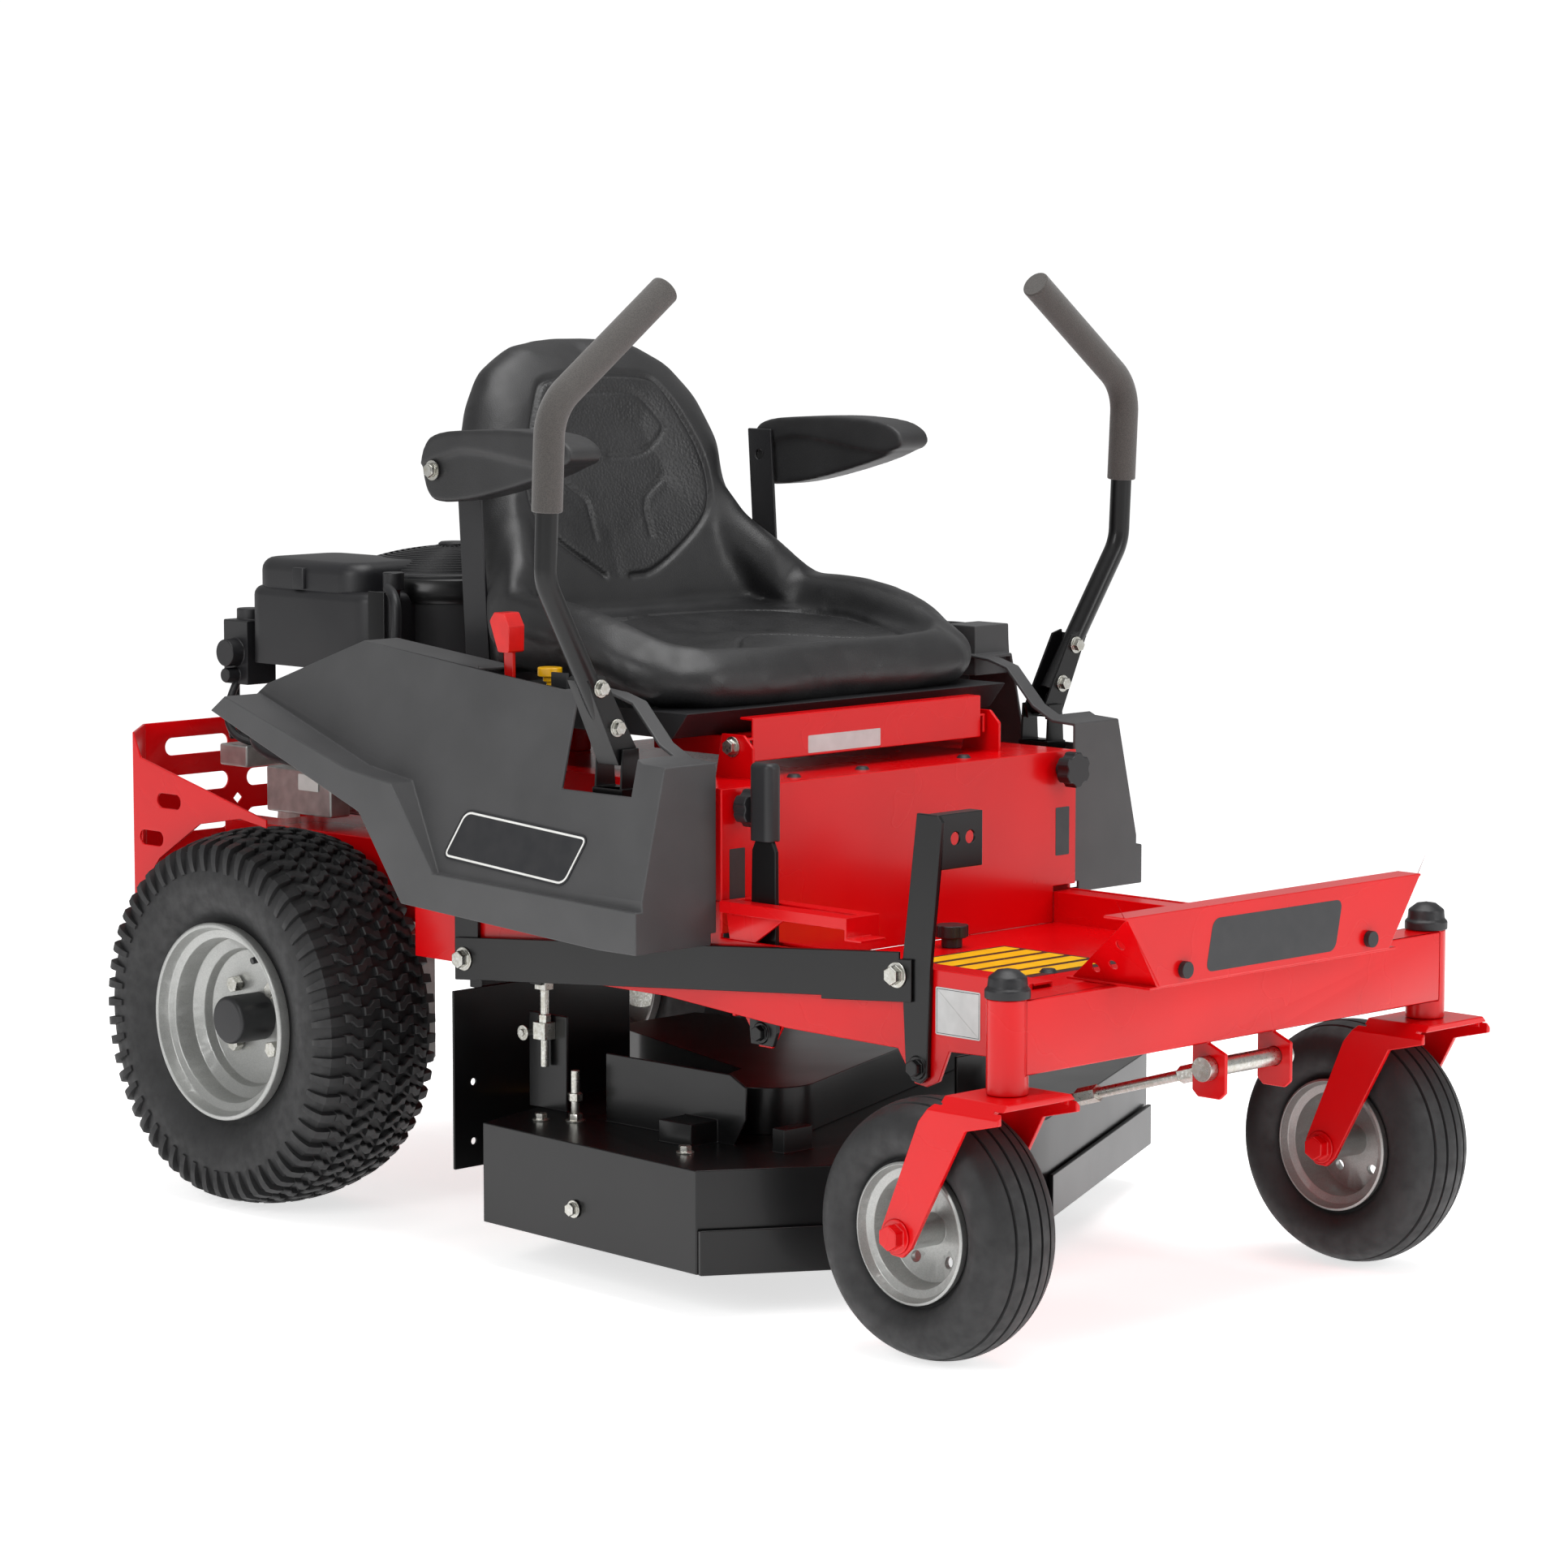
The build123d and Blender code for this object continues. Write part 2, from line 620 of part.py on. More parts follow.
def control_arm(side):
    """Yoke that swings forwards and back on its pin and carries the lever's own hinge."""
    body = ring("x", (-16, 0, 0), 18, 10 + running_gap, 32)
    body += block((-16, 16), (-24, 24), (14, 24))
    for low in (-22, 19):
        outline = [(-15, 20), (15, 20), (12, 68), (-12, 68)]
        body += flat("y", outline, low, low + 3)
    body += rod("y", (0, -22, swing_z - control_z), 6, 44)
    return Pos(side * swing_x, lever_y, control_z) * body


def lever_route():
    """Centre line of the right-hand lever tube, from its bracket to its tip."""
    return [(-362, -85, 622), (-470, -99, 798), (-470, -108, 985), (-302, -112, 1111)]


def drive_lever(side):
    route = lever_route()
    tube = swept_tube(route[:3] + [(-305.2, -111.9, 1108.6)], [55, 62], lever_radius)
    outline = [(-340, 590), (-361, 590), (-404, 680), (-400, 694), (-384, 690), (-336, 606)]
    bracket = None
    for low in (lever_y - 17, lever_y + 13.5):
        leaf = flat("y", outline, low, low + 3)
        bracket = leaf if bracket is None else bracket + leaf
    web = [(-361, 590), (-364, 590), (-410, 686), (-404, 690)]
    bracket += flat("y", web, lever_y - 17, lever_y + 16.5)
    bracket -= rod("y", (-swing_x, lever_y - 30, swing_z), 6 + running_gap, 60)
    bracket -= tube
    bolts = []
    for x, z in ((-391, 677), (-367, 632)):
        bolts.append(bolt_head("y", (x, lever_y - 17, z), 13, -1))
    whole = joined([tube, bracket] + bolts)
    return whole if side < 0 else mirror(whole, about=Plane.YZ)


def lever_grip(side):
    route = lever_route()
    lift = (873.5 - route[1][2]) / (route[2][2] - route[1][2])
    start = tuple(a + (b - a) * lift for a, b in zip(route[1], route[2]))
    sleeve = swept_tube([start, route[2], route[3]], [62], grip_radius)
    tube = swept_tube(route[:3] + [(-305.2, -111.9, 1108.6)], [55, 62], lever_radius)
    body = sleeve - tube
    return body if side < 0 else mirror(body, about=Plane.YZ)


# seat

def seat_base():
    body = block((-188, 188), (-130, 270), (607, 610))
    body += block((-188, 188), (-133, -130), (583, 632))
    body += block((-188, 188), (-133, -112), (629, 632))
    for side in (-1, 1):
        ear = block(side_span(side, 192, 196), (-133, 20), (588, 610))
        ear += block(side_span(side, 185, 196), (-133, 20), (607, 610))
        ear -= rod("x", (side * 194 - 10, hinge_y, hinge_z), pin_radius + running_gap, 20)
        body += ear
        spring = rod("z", (side * 130, 220, tower_top_z + 0.4), 16, 607 - tower_top_z - 0.4)
        body += spring
    return body


def seat_pan():
    pieces = []
    shell = flat("x", [(-105, cushion_low_z), (-80, 610), (300, 610), (318, cushion_low_z)], -262, 262)
    for side in (-1, 1):
        shell -= block(side_span(side, strap_x, 270), (236, 330), (600, 650))
        strap_outline = [(246, 612), (286, 612), (307, 930), (267, 930)]
        strap = flat("x", strap_outline, *side_span(side, strap_x, strap_x + 4))
        strap -= rod("x", (side * strap_x - 10, armrest_pivot_y, armrest_pivot_z), 6 + running_gap, 20)
        pieces.append(strap)
    pieces.append(shell)
    return joined(pieces)


def seat_cushion():
    body = block((-292, 292), (-110, 282), (cushion_low_z, cushion_top_z))
    body -= block((-300, -236), (230, 300), (630, 730))
    body -= block((236, 300), (230, 300), (630, 730))
    body = fillet(body.edges().filter_by(Axis.Z).group_by(Axis.Y)[0], 60)
    return body


def seat_back():
    profile = [(282, cushion_low_z), (282, cushion_top_z), (246, cushion_top_z), (262, 800), (296, 905),
               (326, 1000),
               (350, 1042), (376, 1042), (396, 1010), (372, 905), (345, 760), (318, cushion_low_z)]
    half_outline = [(232, 600), (232, 800), (206, 905), (174, 1000), (130, 1030), (50, 1045)]
    mirrored = [(-x, z) for x, z in reversed(half_outline)]
    body = flat("x", profile, -232, 232)
    return body & flat("y", half_outline + mirrored, 200, 420)


def armrest(side):
    pad = [(312, 898), (306, 925), (287, 942), (146, 948), (75, 943), (54, 932), (50, 916), (64, 904),
           (202, 869),
           (284, 859), (303, 872)]
    body = flat("x", pad, *side_span(side, armrest_inner_x, armrest_outer_x))
    body = fillet(body.edges().filter_by(Axis.X), 5)
    pin_start = min(side * strap_x, side * (strap_x + 14))
    return body + rod("x", (pin_start, armrest_pivot_y, armrest_pivot_z), 6, 14)


# deck

def deck_shell():
    face = make_face(Polyline(*[(x, y, deck_low_z) for x, y in deck_outline], close=True))
    body = extrude(face, amount=deck_top_z - deck_low_z, dir=(0, 0, 1))
    inner = offset(face, amount=-3, kind=Kind.INTERSECTION)
    body -= extrude(inner, amount=deck_top_z - deck_low_z - 3, dir=(0, 0, 1))
    bracket = [(22, deck_top_z), (-186, deck_top_z), (-205, 196), (-205, 232), (-180, 244), (22, 244)]
    body += flat("x", bracket, -271, -268)
    pocket = block((-309, -268), (-157, -111), (deck_top_z, 187))
    body += block((-312, -268), (-160, -108), (deck_top_z, 190)) - pocket
    body += block((-268, -223), (-262, -243), (deck_top_z, 192))
    body += block((-264, -260), (96, 160), (deck_top_z, 276))
    body += block((120, 180), (-160, -156), (deck_top_z, 214))
    body += block((-6, 6), (-383 + 48, -322), (deck_top_z, 190))
    lips = flat("z", [(-403, -265), (-280, -343), (-215, -384), (-215, -390), (-282, -347),
                      (-404, -270)], 50, 100)
    lips += flat("z", [(99, -325), (520, -109), (523, -114), (99, -331)], 50, 100)
    body = body - rod("z", (*spindles[-1], 150), 14, 30) - rod("z", (*spindles[1], 150), 14, 30)
    pieces = [body, *lips.solids()]
    for x, y in spindles.values():
        housing = rod("z", (x, y, 96), 34, 66) + rod("z", (x, y, 156), 60, 6)
        pieces.append(housing - rod("z", (x, y, 90), axle_radius + running_gap, 80))
    return joined(pieces)


def cover_outline(radius, low, high):
    """Slot along the line between the spindles, with the tunnel that carries the belt to the engine."""
    (x0, y0), (x1, y1) = spindles[-1], spindles[1]
    length = ((x1 - x0) ** 2 + (y1 - y0) ** 2) ** 0.5
    nx, ny = (y1 - y0) / length, -(x1 - x0) / length
    r = radius
    bar = [(x0 + nx * r, y0 + ny * r), (x1 + nx * r, y1 + ny * r)]
    bar += [(x1 - nx * r, y1 - ny * r), (x0 - nx * r, y0 - ny * r)]
    body = flat("z", bar, low, high)
    body += rod("z", (x0, y0, low), r, high - low)
    body += rod("z", (x1, y1, low), r, high - low)
    gap = cover_radius - radius
    tunnel = [(-140 + gap, -80), (-27 + gap, 268 + gap), (110 - gap, 268 + gap), (150 - gap, 0)]
    return body + flat("z", tunnel, low, high)


def belt_cover():
    outer = cover_outline(cover_radius, deck_top_z, cover_top_z)
    inner = cover_outline(cover_radius - 2.5, deck_top_z, cover_top_z - 2.5)
    return outer - inner


def mower_blade(side):
    """Blade, spindle shaft and pulley, which turn together."""
    x, y = spindles[side]
    shaft = rod("z", (0, 0, 60), axle_radius, 140)
    blade = block((-blade_radius, blade_radius), (-28, 28), (blade_z, blade_z + 5))
    blade = blade & rod("z", (0, 0, blade_z), blade_radius, 5)
    for end in (-1, 1):
        wing = [(end * 28, blade_z + 5), (end * 28, blade_z), (end * 20, blade_z), (end * 12, blade_z + 5),
                (end * 24, blade_z + 22), (end * 28, blade_z + 22)]
        blade += flat("x", wing, *((130, 205) if end > 0 else (-205, -130)))
    wheel = revolve(Plane.XZ * make_face(Polyline(
        (axle_radius, 0), (pulley_radius, 0), (pulley_radius - 10, 8), (pulley_radius, 16), (axle_radius, 16),
        close=True)), axis=Axis.Z)
    body = shaft + blade + Pos(0, 0, 178) * wheel
    body += hex_head("z", (0, 0, 50.5), 24, 10)
    return Pos(x, y, 0) * Rot(0, 0, 35 * side) * body


def deck_fasteners():
    pieces = [
        bolt_head("x", (-389, -52, 91), 13, -1),
        bolt_head("z", (-319, 79, deck_top_z), 13, 1),
        bolt_head("z", (-340, -180, deck_top_z), 13, 1),
    ]
    tall = bolt_head("z", (-296, 46, deck_top_z), 15, 1) + rod("z", (-296, 46, deck_top_z + 9), 5, 50)
    tall += hex_head("z", (-296, 46, deck_top_z + 24), 15, 9)
    pieces.append(tall)
    hanger = rod("z", (hanger_x, hanger_y, 216), 5, 97)
    hanger += block((hanger_x - 9, hanger_x + 8), (hanger_y - 10, hanger_y + 10), (248, 268))
    hanger += hex_head("z", (hanger_x, hanger_y, 268), 14, 9)
    hanger += block((hanger_x - 7, hanger_x + 6), (hanger_y - 9, hanger_y + 9), (306, 318))
    pieces.append(hanger)
    pin = rod("x", (-284, 152, 253), 4, 20) + rod("x", (-281, 152, 253), 9, 2)
    pieces.append(pin)
    return joined(pieces)


# lift linkage and hand controls

def lift_pedal():
    bar = [(-504, 284), (-494, 276), (-482, 278), (-473, 290), (-468, 372), (-448, 378), (-448, 402),
           (-468, 408),
           (-488, 565), (-518, 565), (-524, 558), (-508, 400)]
    body = flat("x", bar, -296.5, -291)
    body += block((-296.5, -226), (-518, -515), (506, 565))
    body += block((-296.5, -226), (-518, -500), (562, 565))
    body += block((-296.5, -226), (-518, -500), (506, 509))
    for x in (-268, -245):
        body -= rod("y", (x, -525, 538), 7, 20)
    body += rod("x", (-291, pedal_y, pedal_z), 8, 12)
    body -= rod("x", (-298, *link_front), 6 + running_gap, 10)
    body += bolt_head("x", (-296.5, pedal_y, pedal_z), 16, -1)
    return body


def link_bar():
    (y0, z0), (y1, z1) = link_front, link_rear
    slope = (z1 - z0) / (y1 - y0)

    def height(y):
        return z0 + slope * (y - y0)

    def strip(start, end, low, high, x):
        points = [(start, height(start) + low), (end, height(end) + low), (end, height(end) + high),
                  (start, height(start) + high)]
        return flat("x", points, *x)

    web = strip(-466, 248, -25, 25, (-300, -297))
    web += strip(-484, -466, -17, 17, (-300, -297))
    web += strip(-484, -350, -29, -17, (-300, -297))
    body = web + strip(-425, 180, 22, 25, (-300, -291.5)) + strip(-425, 180, -25, -22, (-300, -291.5))
    body += rod("x", (-297, *link_front), 6, 6)
    body += rod("x", (-297, *link_rear), 6, 6)
    pieces = [body]
    for point in (link_front, link_rear):
        pieces.append(bolt_head("x", (-300, *point), 18, -1))
    return joined(pieces)


def lift_arm():
    shaft = rod("x", (-296, lift_shaft_y, lift_shaft_z), axle_radius, 586)
    arm = block((-296, -291.5), (lift_shaft_y - 20, lift_shaft_y + 20), (314, 432))
    arm -= rod("x", (-298, *link_rear), link_clearance_radius, 10)
    inner = [(lift_shaft_y + 16, 412), (lift_shaft_y + 6, 432), (lift_shaft_y - 14, 428), (114, 330),
             (118, 312),
             (136, 312)]
    body = shaft + arm
    body += flat("x", inner, -283, -279)
    body += flat("x", inner, 279, 283)
    return body


def height_lever():
    bar = [(-252, 284), (-218, 284), (-216, 300), (-220, 500), (-226, 512), (-250, 512), (-256, 500),
           (-258, 300)]
    body = flat("x", bar, height_lever_x - 3, height_lever_x + 3)
    grip = Pos(height_lever_x, -238, 554) * Box(22, 34, 86)
    grip = fillet(grip.edges().filter_by(Axis.Z), 9)
    grip = fillet(grip.faces().sort_by(Axis.Z)[-1].edges(), 6)
    grip -= block((height_lever_x - 3, height_lever_x + 3), (-270, -200), (500, 512))
    body += rod("x", (height_lever_x + 3, height_pivot_y, height_pivot_z), 8, 12)
    body += bolt_head("x", (height_lever_x - 3, height_pivot_y, height_pivot_z), 15, -1)
    return joined([body, grip])


def front_link_rod():
    """Rod from the pin under the beam back and down to the deck's front."""
    pin = rod("x", (-66, -692, 288), 10, 132)
    pin += rod("x", (-70, -692, 288), 13.5, 12.5) + rod("x", (57.5, -692, 288), 13.5, 12.5)
    rod_path = Plane(origin=(0, -692, 288), z_dir=(0, 216, -63))
    link = rod_path * Pos(0, 0, 178) * Cylinder(6, 356)
    link += rod_path * Pos(0, 0, 60) * extrude(RegularPolygon(10, 6), amount=30)
    link += rod_path * Pos(0, 0, 215) * extrude(RegularPolygon(10, 6), amount=30)
    return pin + link


def tracking_knob(side):
    star = extrude(Circle(21), amount=18)
    for turn in range(6):
        star -= Rot(0, 0, 60 * turn) * Pos(26, 0, 0) * Cylinder(8, 60)
    body = star + Pos(0, 0, -5) * Cylinder(11, 10)
    body += Pos(0, 0, -20) * Cylinder(6, 30)
    return Pos(side * 266, panel_y - 10.5, 544) * Rot(90, 0, 0) * body


def throttle_lever():
    stem = [(107, 632), (119, 632), (123, 705), (114, 712), (108, 705)]
    body = flat("x", stem, -332.5, -327.5) + rod("x", (-333.5, 113, 645), 4.5, 7)
    knob = flat("x", [(104, 700), (122, 700), (136, 735), (128, 745), (112, 745), (103, 730)], -342, -318)
    return body + fillet(knob.edges().filter_by(Axis.X), 3)


def pto_knob():
    body = rod("z", (-308, 72, 620), 4, 48)
    head = rod("z", (-308, 72, 668), 8, 6) + rod("z", (-308, 72, 674), 14, 10)
    return body + head


def ignition_key():
    body = rod("z", (-330, 31, 630), 4, 24)
    body += rod("z", (-330, 31, 653.3), 11, 5)
    return body + block((-332, -328), (18, 44), (658.3, 682))


sided = {
    "fender": fender, "rear_tyre": rear_tyre, "rear_rim": rear_rim, "rear_hub": rear_hub,
    "caster_fork": caster_fork, "caster_tyre": caster_tyre, "caster_rim": caster_rim,
    "control_arm": control_arm, "drive_lever": drive_lever, "lever_grip": lever_grip,
    "armrest": armrest, "mower_blade": mower_blade, "tracking_knob": tracking_knob,
}
single = [
    main_frame, front_beam, floor_pan, front_step_plate, seat_tower, rear_guard, quadrant_bracket,
    caster_caps,
    rear_baffle, engine_block, blower_housing, air_filter_cover, muffler, carburettor, transaxles, battery,
    fuel_tank, frame_fasteners, crank_pulleys, seat_base, seat_pan, seat_cushion, seat_back, deck_shell,
    belt_cover, deck_fasteners, lift_pedal, link_bar, lift_arm, height_lever, front_link_rod, throttle_lever,
    pto_knob, ignition_key,
]

os.makedirs("parts", exist_ok=True)
for make in single:
    export_step(make(), f"parts/{make.__name__}.step")
for name, make in sided.items():
    export_step(make(-1), f"parts/{name}_right.step")
    export_step(make(1), f"parts/{name}_left.step")
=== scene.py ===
import json
import math

import bmesh
import bpy
import numpy as np
from mathutils import Matrix, Vector

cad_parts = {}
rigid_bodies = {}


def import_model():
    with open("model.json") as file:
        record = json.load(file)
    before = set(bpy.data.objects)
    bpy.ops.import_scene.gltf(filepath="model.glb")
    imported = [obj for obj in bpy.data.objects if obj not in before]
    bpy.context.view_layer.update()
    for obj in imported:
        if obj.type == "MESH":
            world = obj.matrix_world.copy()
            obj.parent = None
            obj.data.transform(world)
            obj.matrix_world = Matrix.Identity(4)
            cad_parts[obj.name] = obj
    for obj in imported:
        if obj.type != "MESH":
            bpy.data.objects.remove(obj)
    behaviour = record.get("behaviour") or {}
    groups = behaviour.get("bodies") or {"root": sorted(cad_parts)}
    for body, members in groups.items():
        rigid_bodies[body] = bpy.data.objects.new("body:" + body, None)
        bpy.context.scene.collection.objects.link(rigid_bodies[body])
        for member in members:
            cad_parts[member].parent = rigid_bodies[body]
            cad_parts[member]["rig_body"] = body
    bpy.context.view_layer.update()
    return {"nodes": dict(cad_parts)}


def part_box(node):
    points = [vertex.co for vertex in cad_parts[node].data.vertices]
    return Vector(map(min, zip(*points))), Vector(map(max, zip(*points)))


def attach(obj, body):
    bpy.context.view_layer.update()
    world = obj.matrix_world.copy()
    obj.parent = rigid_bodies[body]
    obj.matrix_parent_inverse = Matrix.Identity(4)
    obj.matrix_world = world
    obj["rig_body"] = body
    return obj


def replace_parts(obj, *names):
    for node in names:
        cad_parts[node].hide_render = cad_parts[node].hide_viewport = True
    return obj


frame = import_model()
mm = 0.001
scene = bpy.context.scene
nodes = frame["nodes"]


def at(x, y, z):
    return Vector((x, y, z)) * mm  # a place given in millimetres


def linear(hexColour):  # sRGB hex to linear light
    parts = [int(hexColour[i:i + 2], 16) / 255 for i in (0, 2, 4)]
    return [c / 12.92 if c <= 0.04045 else ((c + 0.055) / 1.055) ** 2.4 for c in parts] + [1]


def addNode(tree, kind, settings=None, inputs=None):
    node = tree.nodes.new(kind)
    for name, value in (settings or {}).items():
        setattr(node, name, value)
    for name, value in (inputs or {}).items():
        if isinstance(value, bpy.types.NodeSocket):
            tree.links.new(value, node.inputs[name])
        else:
            node.inputs[name].default_value = value
    return node


def startMaterial(name, roughness, metallic=0.0, coat=0.0):
    material = bpy.data.materials.new(name)
    material.use_nodes = True
    tree = material.node_tree
    shader = tree.nodes["Principled BSDF"]
    shader.inputs["Roughness"].default_value = roughness
    shader.inputs["Metallic"].default_value = metallic
    shader.inputs["Coat Weight"].default_value = coat
    shader.inputs["Coat Roughness"].default_value = 0.12
    place = addNode(tree, "ShaderNodeTexCoord").outputs["Object"]
    return material, (tree, shader, place)  # the second is the skin that the next functions work on


def patches(skin, sizeMm, detail, low=0, high=1):
    # soft clouds about sizeMm across, whose values run from low to high
    tree, _, place = skin
    cloud = addNode(tree, "ShaderNodeTexNoise", None, {
        "Vector": place, "Scale": 1000 / sizeMm, "Detail": detail})
    spread = addNode(tree, "ShaderNodeMapRange", None, {
        "Value": cloud.outputs["Fac"], "From Min": 0.3, "From Max": 0.7, "To Min": low, "To Max": high})
    return spread.outputs["Result"]


def patchyColour(skin, sizeMm, detail, colour, shade):
    tree, shader, _ = skin
    mix = addNode(tree, "ShaderNodeMix", {"data_type": "RGBA"}, {
        0: patches(skin, sizeMm, detail), 6: linear(colour), 7: linear(shade)})
    tree.links.new(mix.outputs[2], shader.inputs["Base Color"])


def patchyShine(skin, sizeMm, detail, low, high):
    tree, shader, _ = skin
    tree.links.new(patches(skin, sizeMm, detail, low, high), shader.inputs["Roughness"])


def flakeColour(skin, sizeMm, colour, shade):
    # each flake or spangle has its own tone between the two colours
    tree, shader, place = skin
    cells = addNode(tree, "ShaderNodeTexVoronoi", None, {"Vector": place, "Scale": 1000 / sizeMm})
    tone = addNode(tree, "ShaderNodeRGBToBW", None, {"Color": cells.outputs["Color"]})
    mix = addNode(tree, "ShaderNodeMix", {"data_type": "RGBA"}, {
        0: tone.outputs["Val"], 6: linear(colour), 7: linear(shade)})
    tree.links.new(mix.outputs[2], shader.inputs["Base Color"])


def unevenSkin(skin, sizeMm, detail, depthMm, strength):
    # orange peel, flow marks or scuffs
    tree, shader, place = skin
    cloud = addNode(tree, "ShaderNodeTexNoise", None, {
        "Vector": place, "Scale": 1000 / sizeMm, "Detail": detail})
    bump = addNode(tree, "ShaderNodeBump", None, {
        "Height": cloud.outputs["Fac"], "Distance": depthMm * mm, "Strength": strength})
    tree.links.new(bump.outputs["Normal"], shader.inputs["Normal"])


def pebbledSkin(skin, sizeMm, depthMm, strength):
    # rounded cells, as a mould's grain or the pores of cut foam
    tree, shader, place = skin
    cells = addNode(tree, "ShaderNodeTexVoronoi", None, {
        "Vector": place, "Scale": 1000 / sizeMm}).outputs["Distance"]
    bump = addNode(tree, "ShaderNodeBump", None, {
        "Height": cells, "Distance": depthMm * mm, "Strength": strength})
    tree.links.new(bump.outputs["Normal"], shader.inputs["Normal"])
    return cells


def powderCoat(name, colour, shade, roughness, coat):
    # sprayed powder melts to a smooth skin with a faint orange peel: about 2 mm across, drawn at 5 to show
    material, skin = startMaterial(name, roughness, coat=coat)
    _, shader, _ = skin
    shader.inputs["Specular IOR Level"].default_value = 0.32
    patchyColour(skin, 140, 2, colour, shade)
    patchyShine(skin, 120, 2, roughness - 0.02, roughness + 0.03)
    unevenSkin(skin, 5, 1, 0.02, 0.12)
    return material


def mouldedPlastic(name, colour, shade, roughness, grainMm=1.4, grainDepth=0.12):
    # polypropylene from a spark-eroded mould: an even fine grain that scatters the light, soft flow shading
    material, skin = startMaterial(name, roughness)
    patchyColour(skin, 90, 3, colour, shade)
    pebbledSkin(skin, grainMm, grainDepth, 0.5)
    return material


def glossPlastic(name, colour, shade):
    # ABS moulded in a polished tool, with slight sink marks
    material, skin = startMaterial(name, 0.28, coat=0.2)
    patchyColour(skin, 25, 2, colour, shade)
    unevenSkin(skin, 12, 2, 0.15, 0.3)
    return material


def tyreRubber():
    # vulcanised carbon-black rubber: dull, slightly brown where it has bloomed, scuffed paler in patches
    material, skin = startMaterial("vulcanisedRubber", 0.62)
    patchyColour(skin, 60, 5, "19191A", "232324")
    patchyShine(skin, 14, 5, 0.48, 0.72)
    unevenSkin(skin, 2.2, 4, 0.12, 0.45)
    return material


def foamSleeve():
    # closed-cell nitrile foam: warm grey, matt, with open cut pores about 1 mm across; each pore's hollow is
    # painted darker as painted shade
    material, skin = startMaterial("closedCellFoam", 0.9)
    tree, shader, _ = skin
    pores = pebbledSkin(skin, 1.3, 0.35, 0.6)
    # painted shade: the colour runs dark in the middle of each pore and lighter on the cell walls, standing
    # in for shade in the hollows
    tone = addNode(tree, "ShaderNodeMapRange", None, {
        "Value": pores, "From Min": 0.1, "From Max": 0.6, "To Min": 0, "To Max": 1})
    mix = addNode(tree, "ShaderNodeMix", {"data_type": "RGBA"}, {
        0: tone.outputs["Result"], 6: linear("2B2927"), 7: linear("45413E")})
    tree.links.new(mix.outputs[2], shader.inputs["Base Color"])
    shader.inputs["Sheen Weight"].default_value = 0.25
    shader.inputs["Sheen Roughness"].default_value = 0.6
    return material


def seatVinyl():
    # calendered vinyl over foam: embossed leather grain, coarser in the sunk panels, a soft satin shine
    material, skin = startMaterial("embossedVinyl", 0.42)
    tree, shader, place = skin
    panel = addNode(tree, "ShaderNodeAttribute", {"attribute_name": "panel"}).outputs["Fac"]
    fine = addNode(tree, "ShaderNodeTexVoronoi", None, {
        "Vector": place, "Scale": 1000 / 1.5}).outputs["Distance"]
    coarse = addNode(tree, "ShaderNodeTexVoronoi", {"feature": "SMOOTH_F1"}, {
        "Vector": place, "Scale": 1000 / 3.4, "Smoothness": 0.6}).outputs["Distance"]
    shallow = addNode(tree, "ShaderNodeMapRange", None, {
        "Value": fine, "From Min": 0, "From Max": 1, "To Min": 0, "To Max": 0.22}).outputs["Result"]
    grain = addNode(tree, "ShaderNodeMix", {"data_type": "FLOAT"}, {
        0: panel, 2: shallow, 3: coarse}).outputs[0]
    bump = addNode(tree, "ShaderNodeBump", None, {"Height": grain, "Distance": 0.9 * mm, "Strength": 0.55})
    tree.links.new(bump.outputs["Normal"], shader.inputs["Normal"])
    patchyColour(skin, 80, 4, "1C1C1D", "252526")
    patchyShine(skin, 35, 4, 0.36, 0.5)
    return material


def softSkin():
    # integral-skin polyurethane: satin black with a faint pebble from the mould
    material, skin = startMaterial("integralSkinFoam", 0.5)
    patchyColour(skin, 60, 3, "202021", "2A2A2B")
    pebbledSkin(skin, 2.0, 0.15, 0.5)
    return material


def zincPlate():
    # bright zinc with a thin yellow chromate, mottled as it dries
    material, skin = startMaterial("chromatedZinc", 0.3, metallic=1.0)
    patchyColour(skin, 6, 4, "C9C9C5", "B4B2A8")
    patchyShine(skin, 3, 3, 0.22, 0.42)
    return material


def silverPaint():
    # aluminium-flake wheel enamel: fine flakes give a soft metallic sparkle under a thin clear film
    material, skin = startMaterial("flakeEnamel", 0.36, metallic=0.55, coat=0.25)
    flakeColour(skin, 0.9, "9FA09E", "B4B5B2")
    unevenSkin(skin, 5, 2, 0.04, 0.3)
    return material


def castAluminium():
    # pressure-cast aluminium: pale, slightly rough skin with flow marks
    material, skin = startMaterial("pressureCastAluminium", 0.45, metallic=0.85)
    patchyColour(skin, 18, 5, "A9AAA8", "C4C5C2")
    unevenSkin(skin, 2.4, 4, 0.2, 0.5)
    return material


def aluminisedSteel():
    # hot-dipped aluminised sheet: matt pale skin with faint spangle
    material, skin = startMaterial("aluminisedSheet", 0.5, metallic=0.35)
    flakeColour(skin, 9, "CDCECA", "DBDCD8")
    unevenSkin(skin, 3, 3, 0.05, 0.3)
    return material


def printedFilm(name, colour, shade, roughness=0.4):
    # printed polyester label film: smooth, with the slight unevenness of the adhesive under it
    material, skin = startMaterial(name, roughness)
    patchyColour(skin, 20, 2, colour, shade)
    unevenSkin(skin, 8, 2, 0.05, 0.25)
    return material


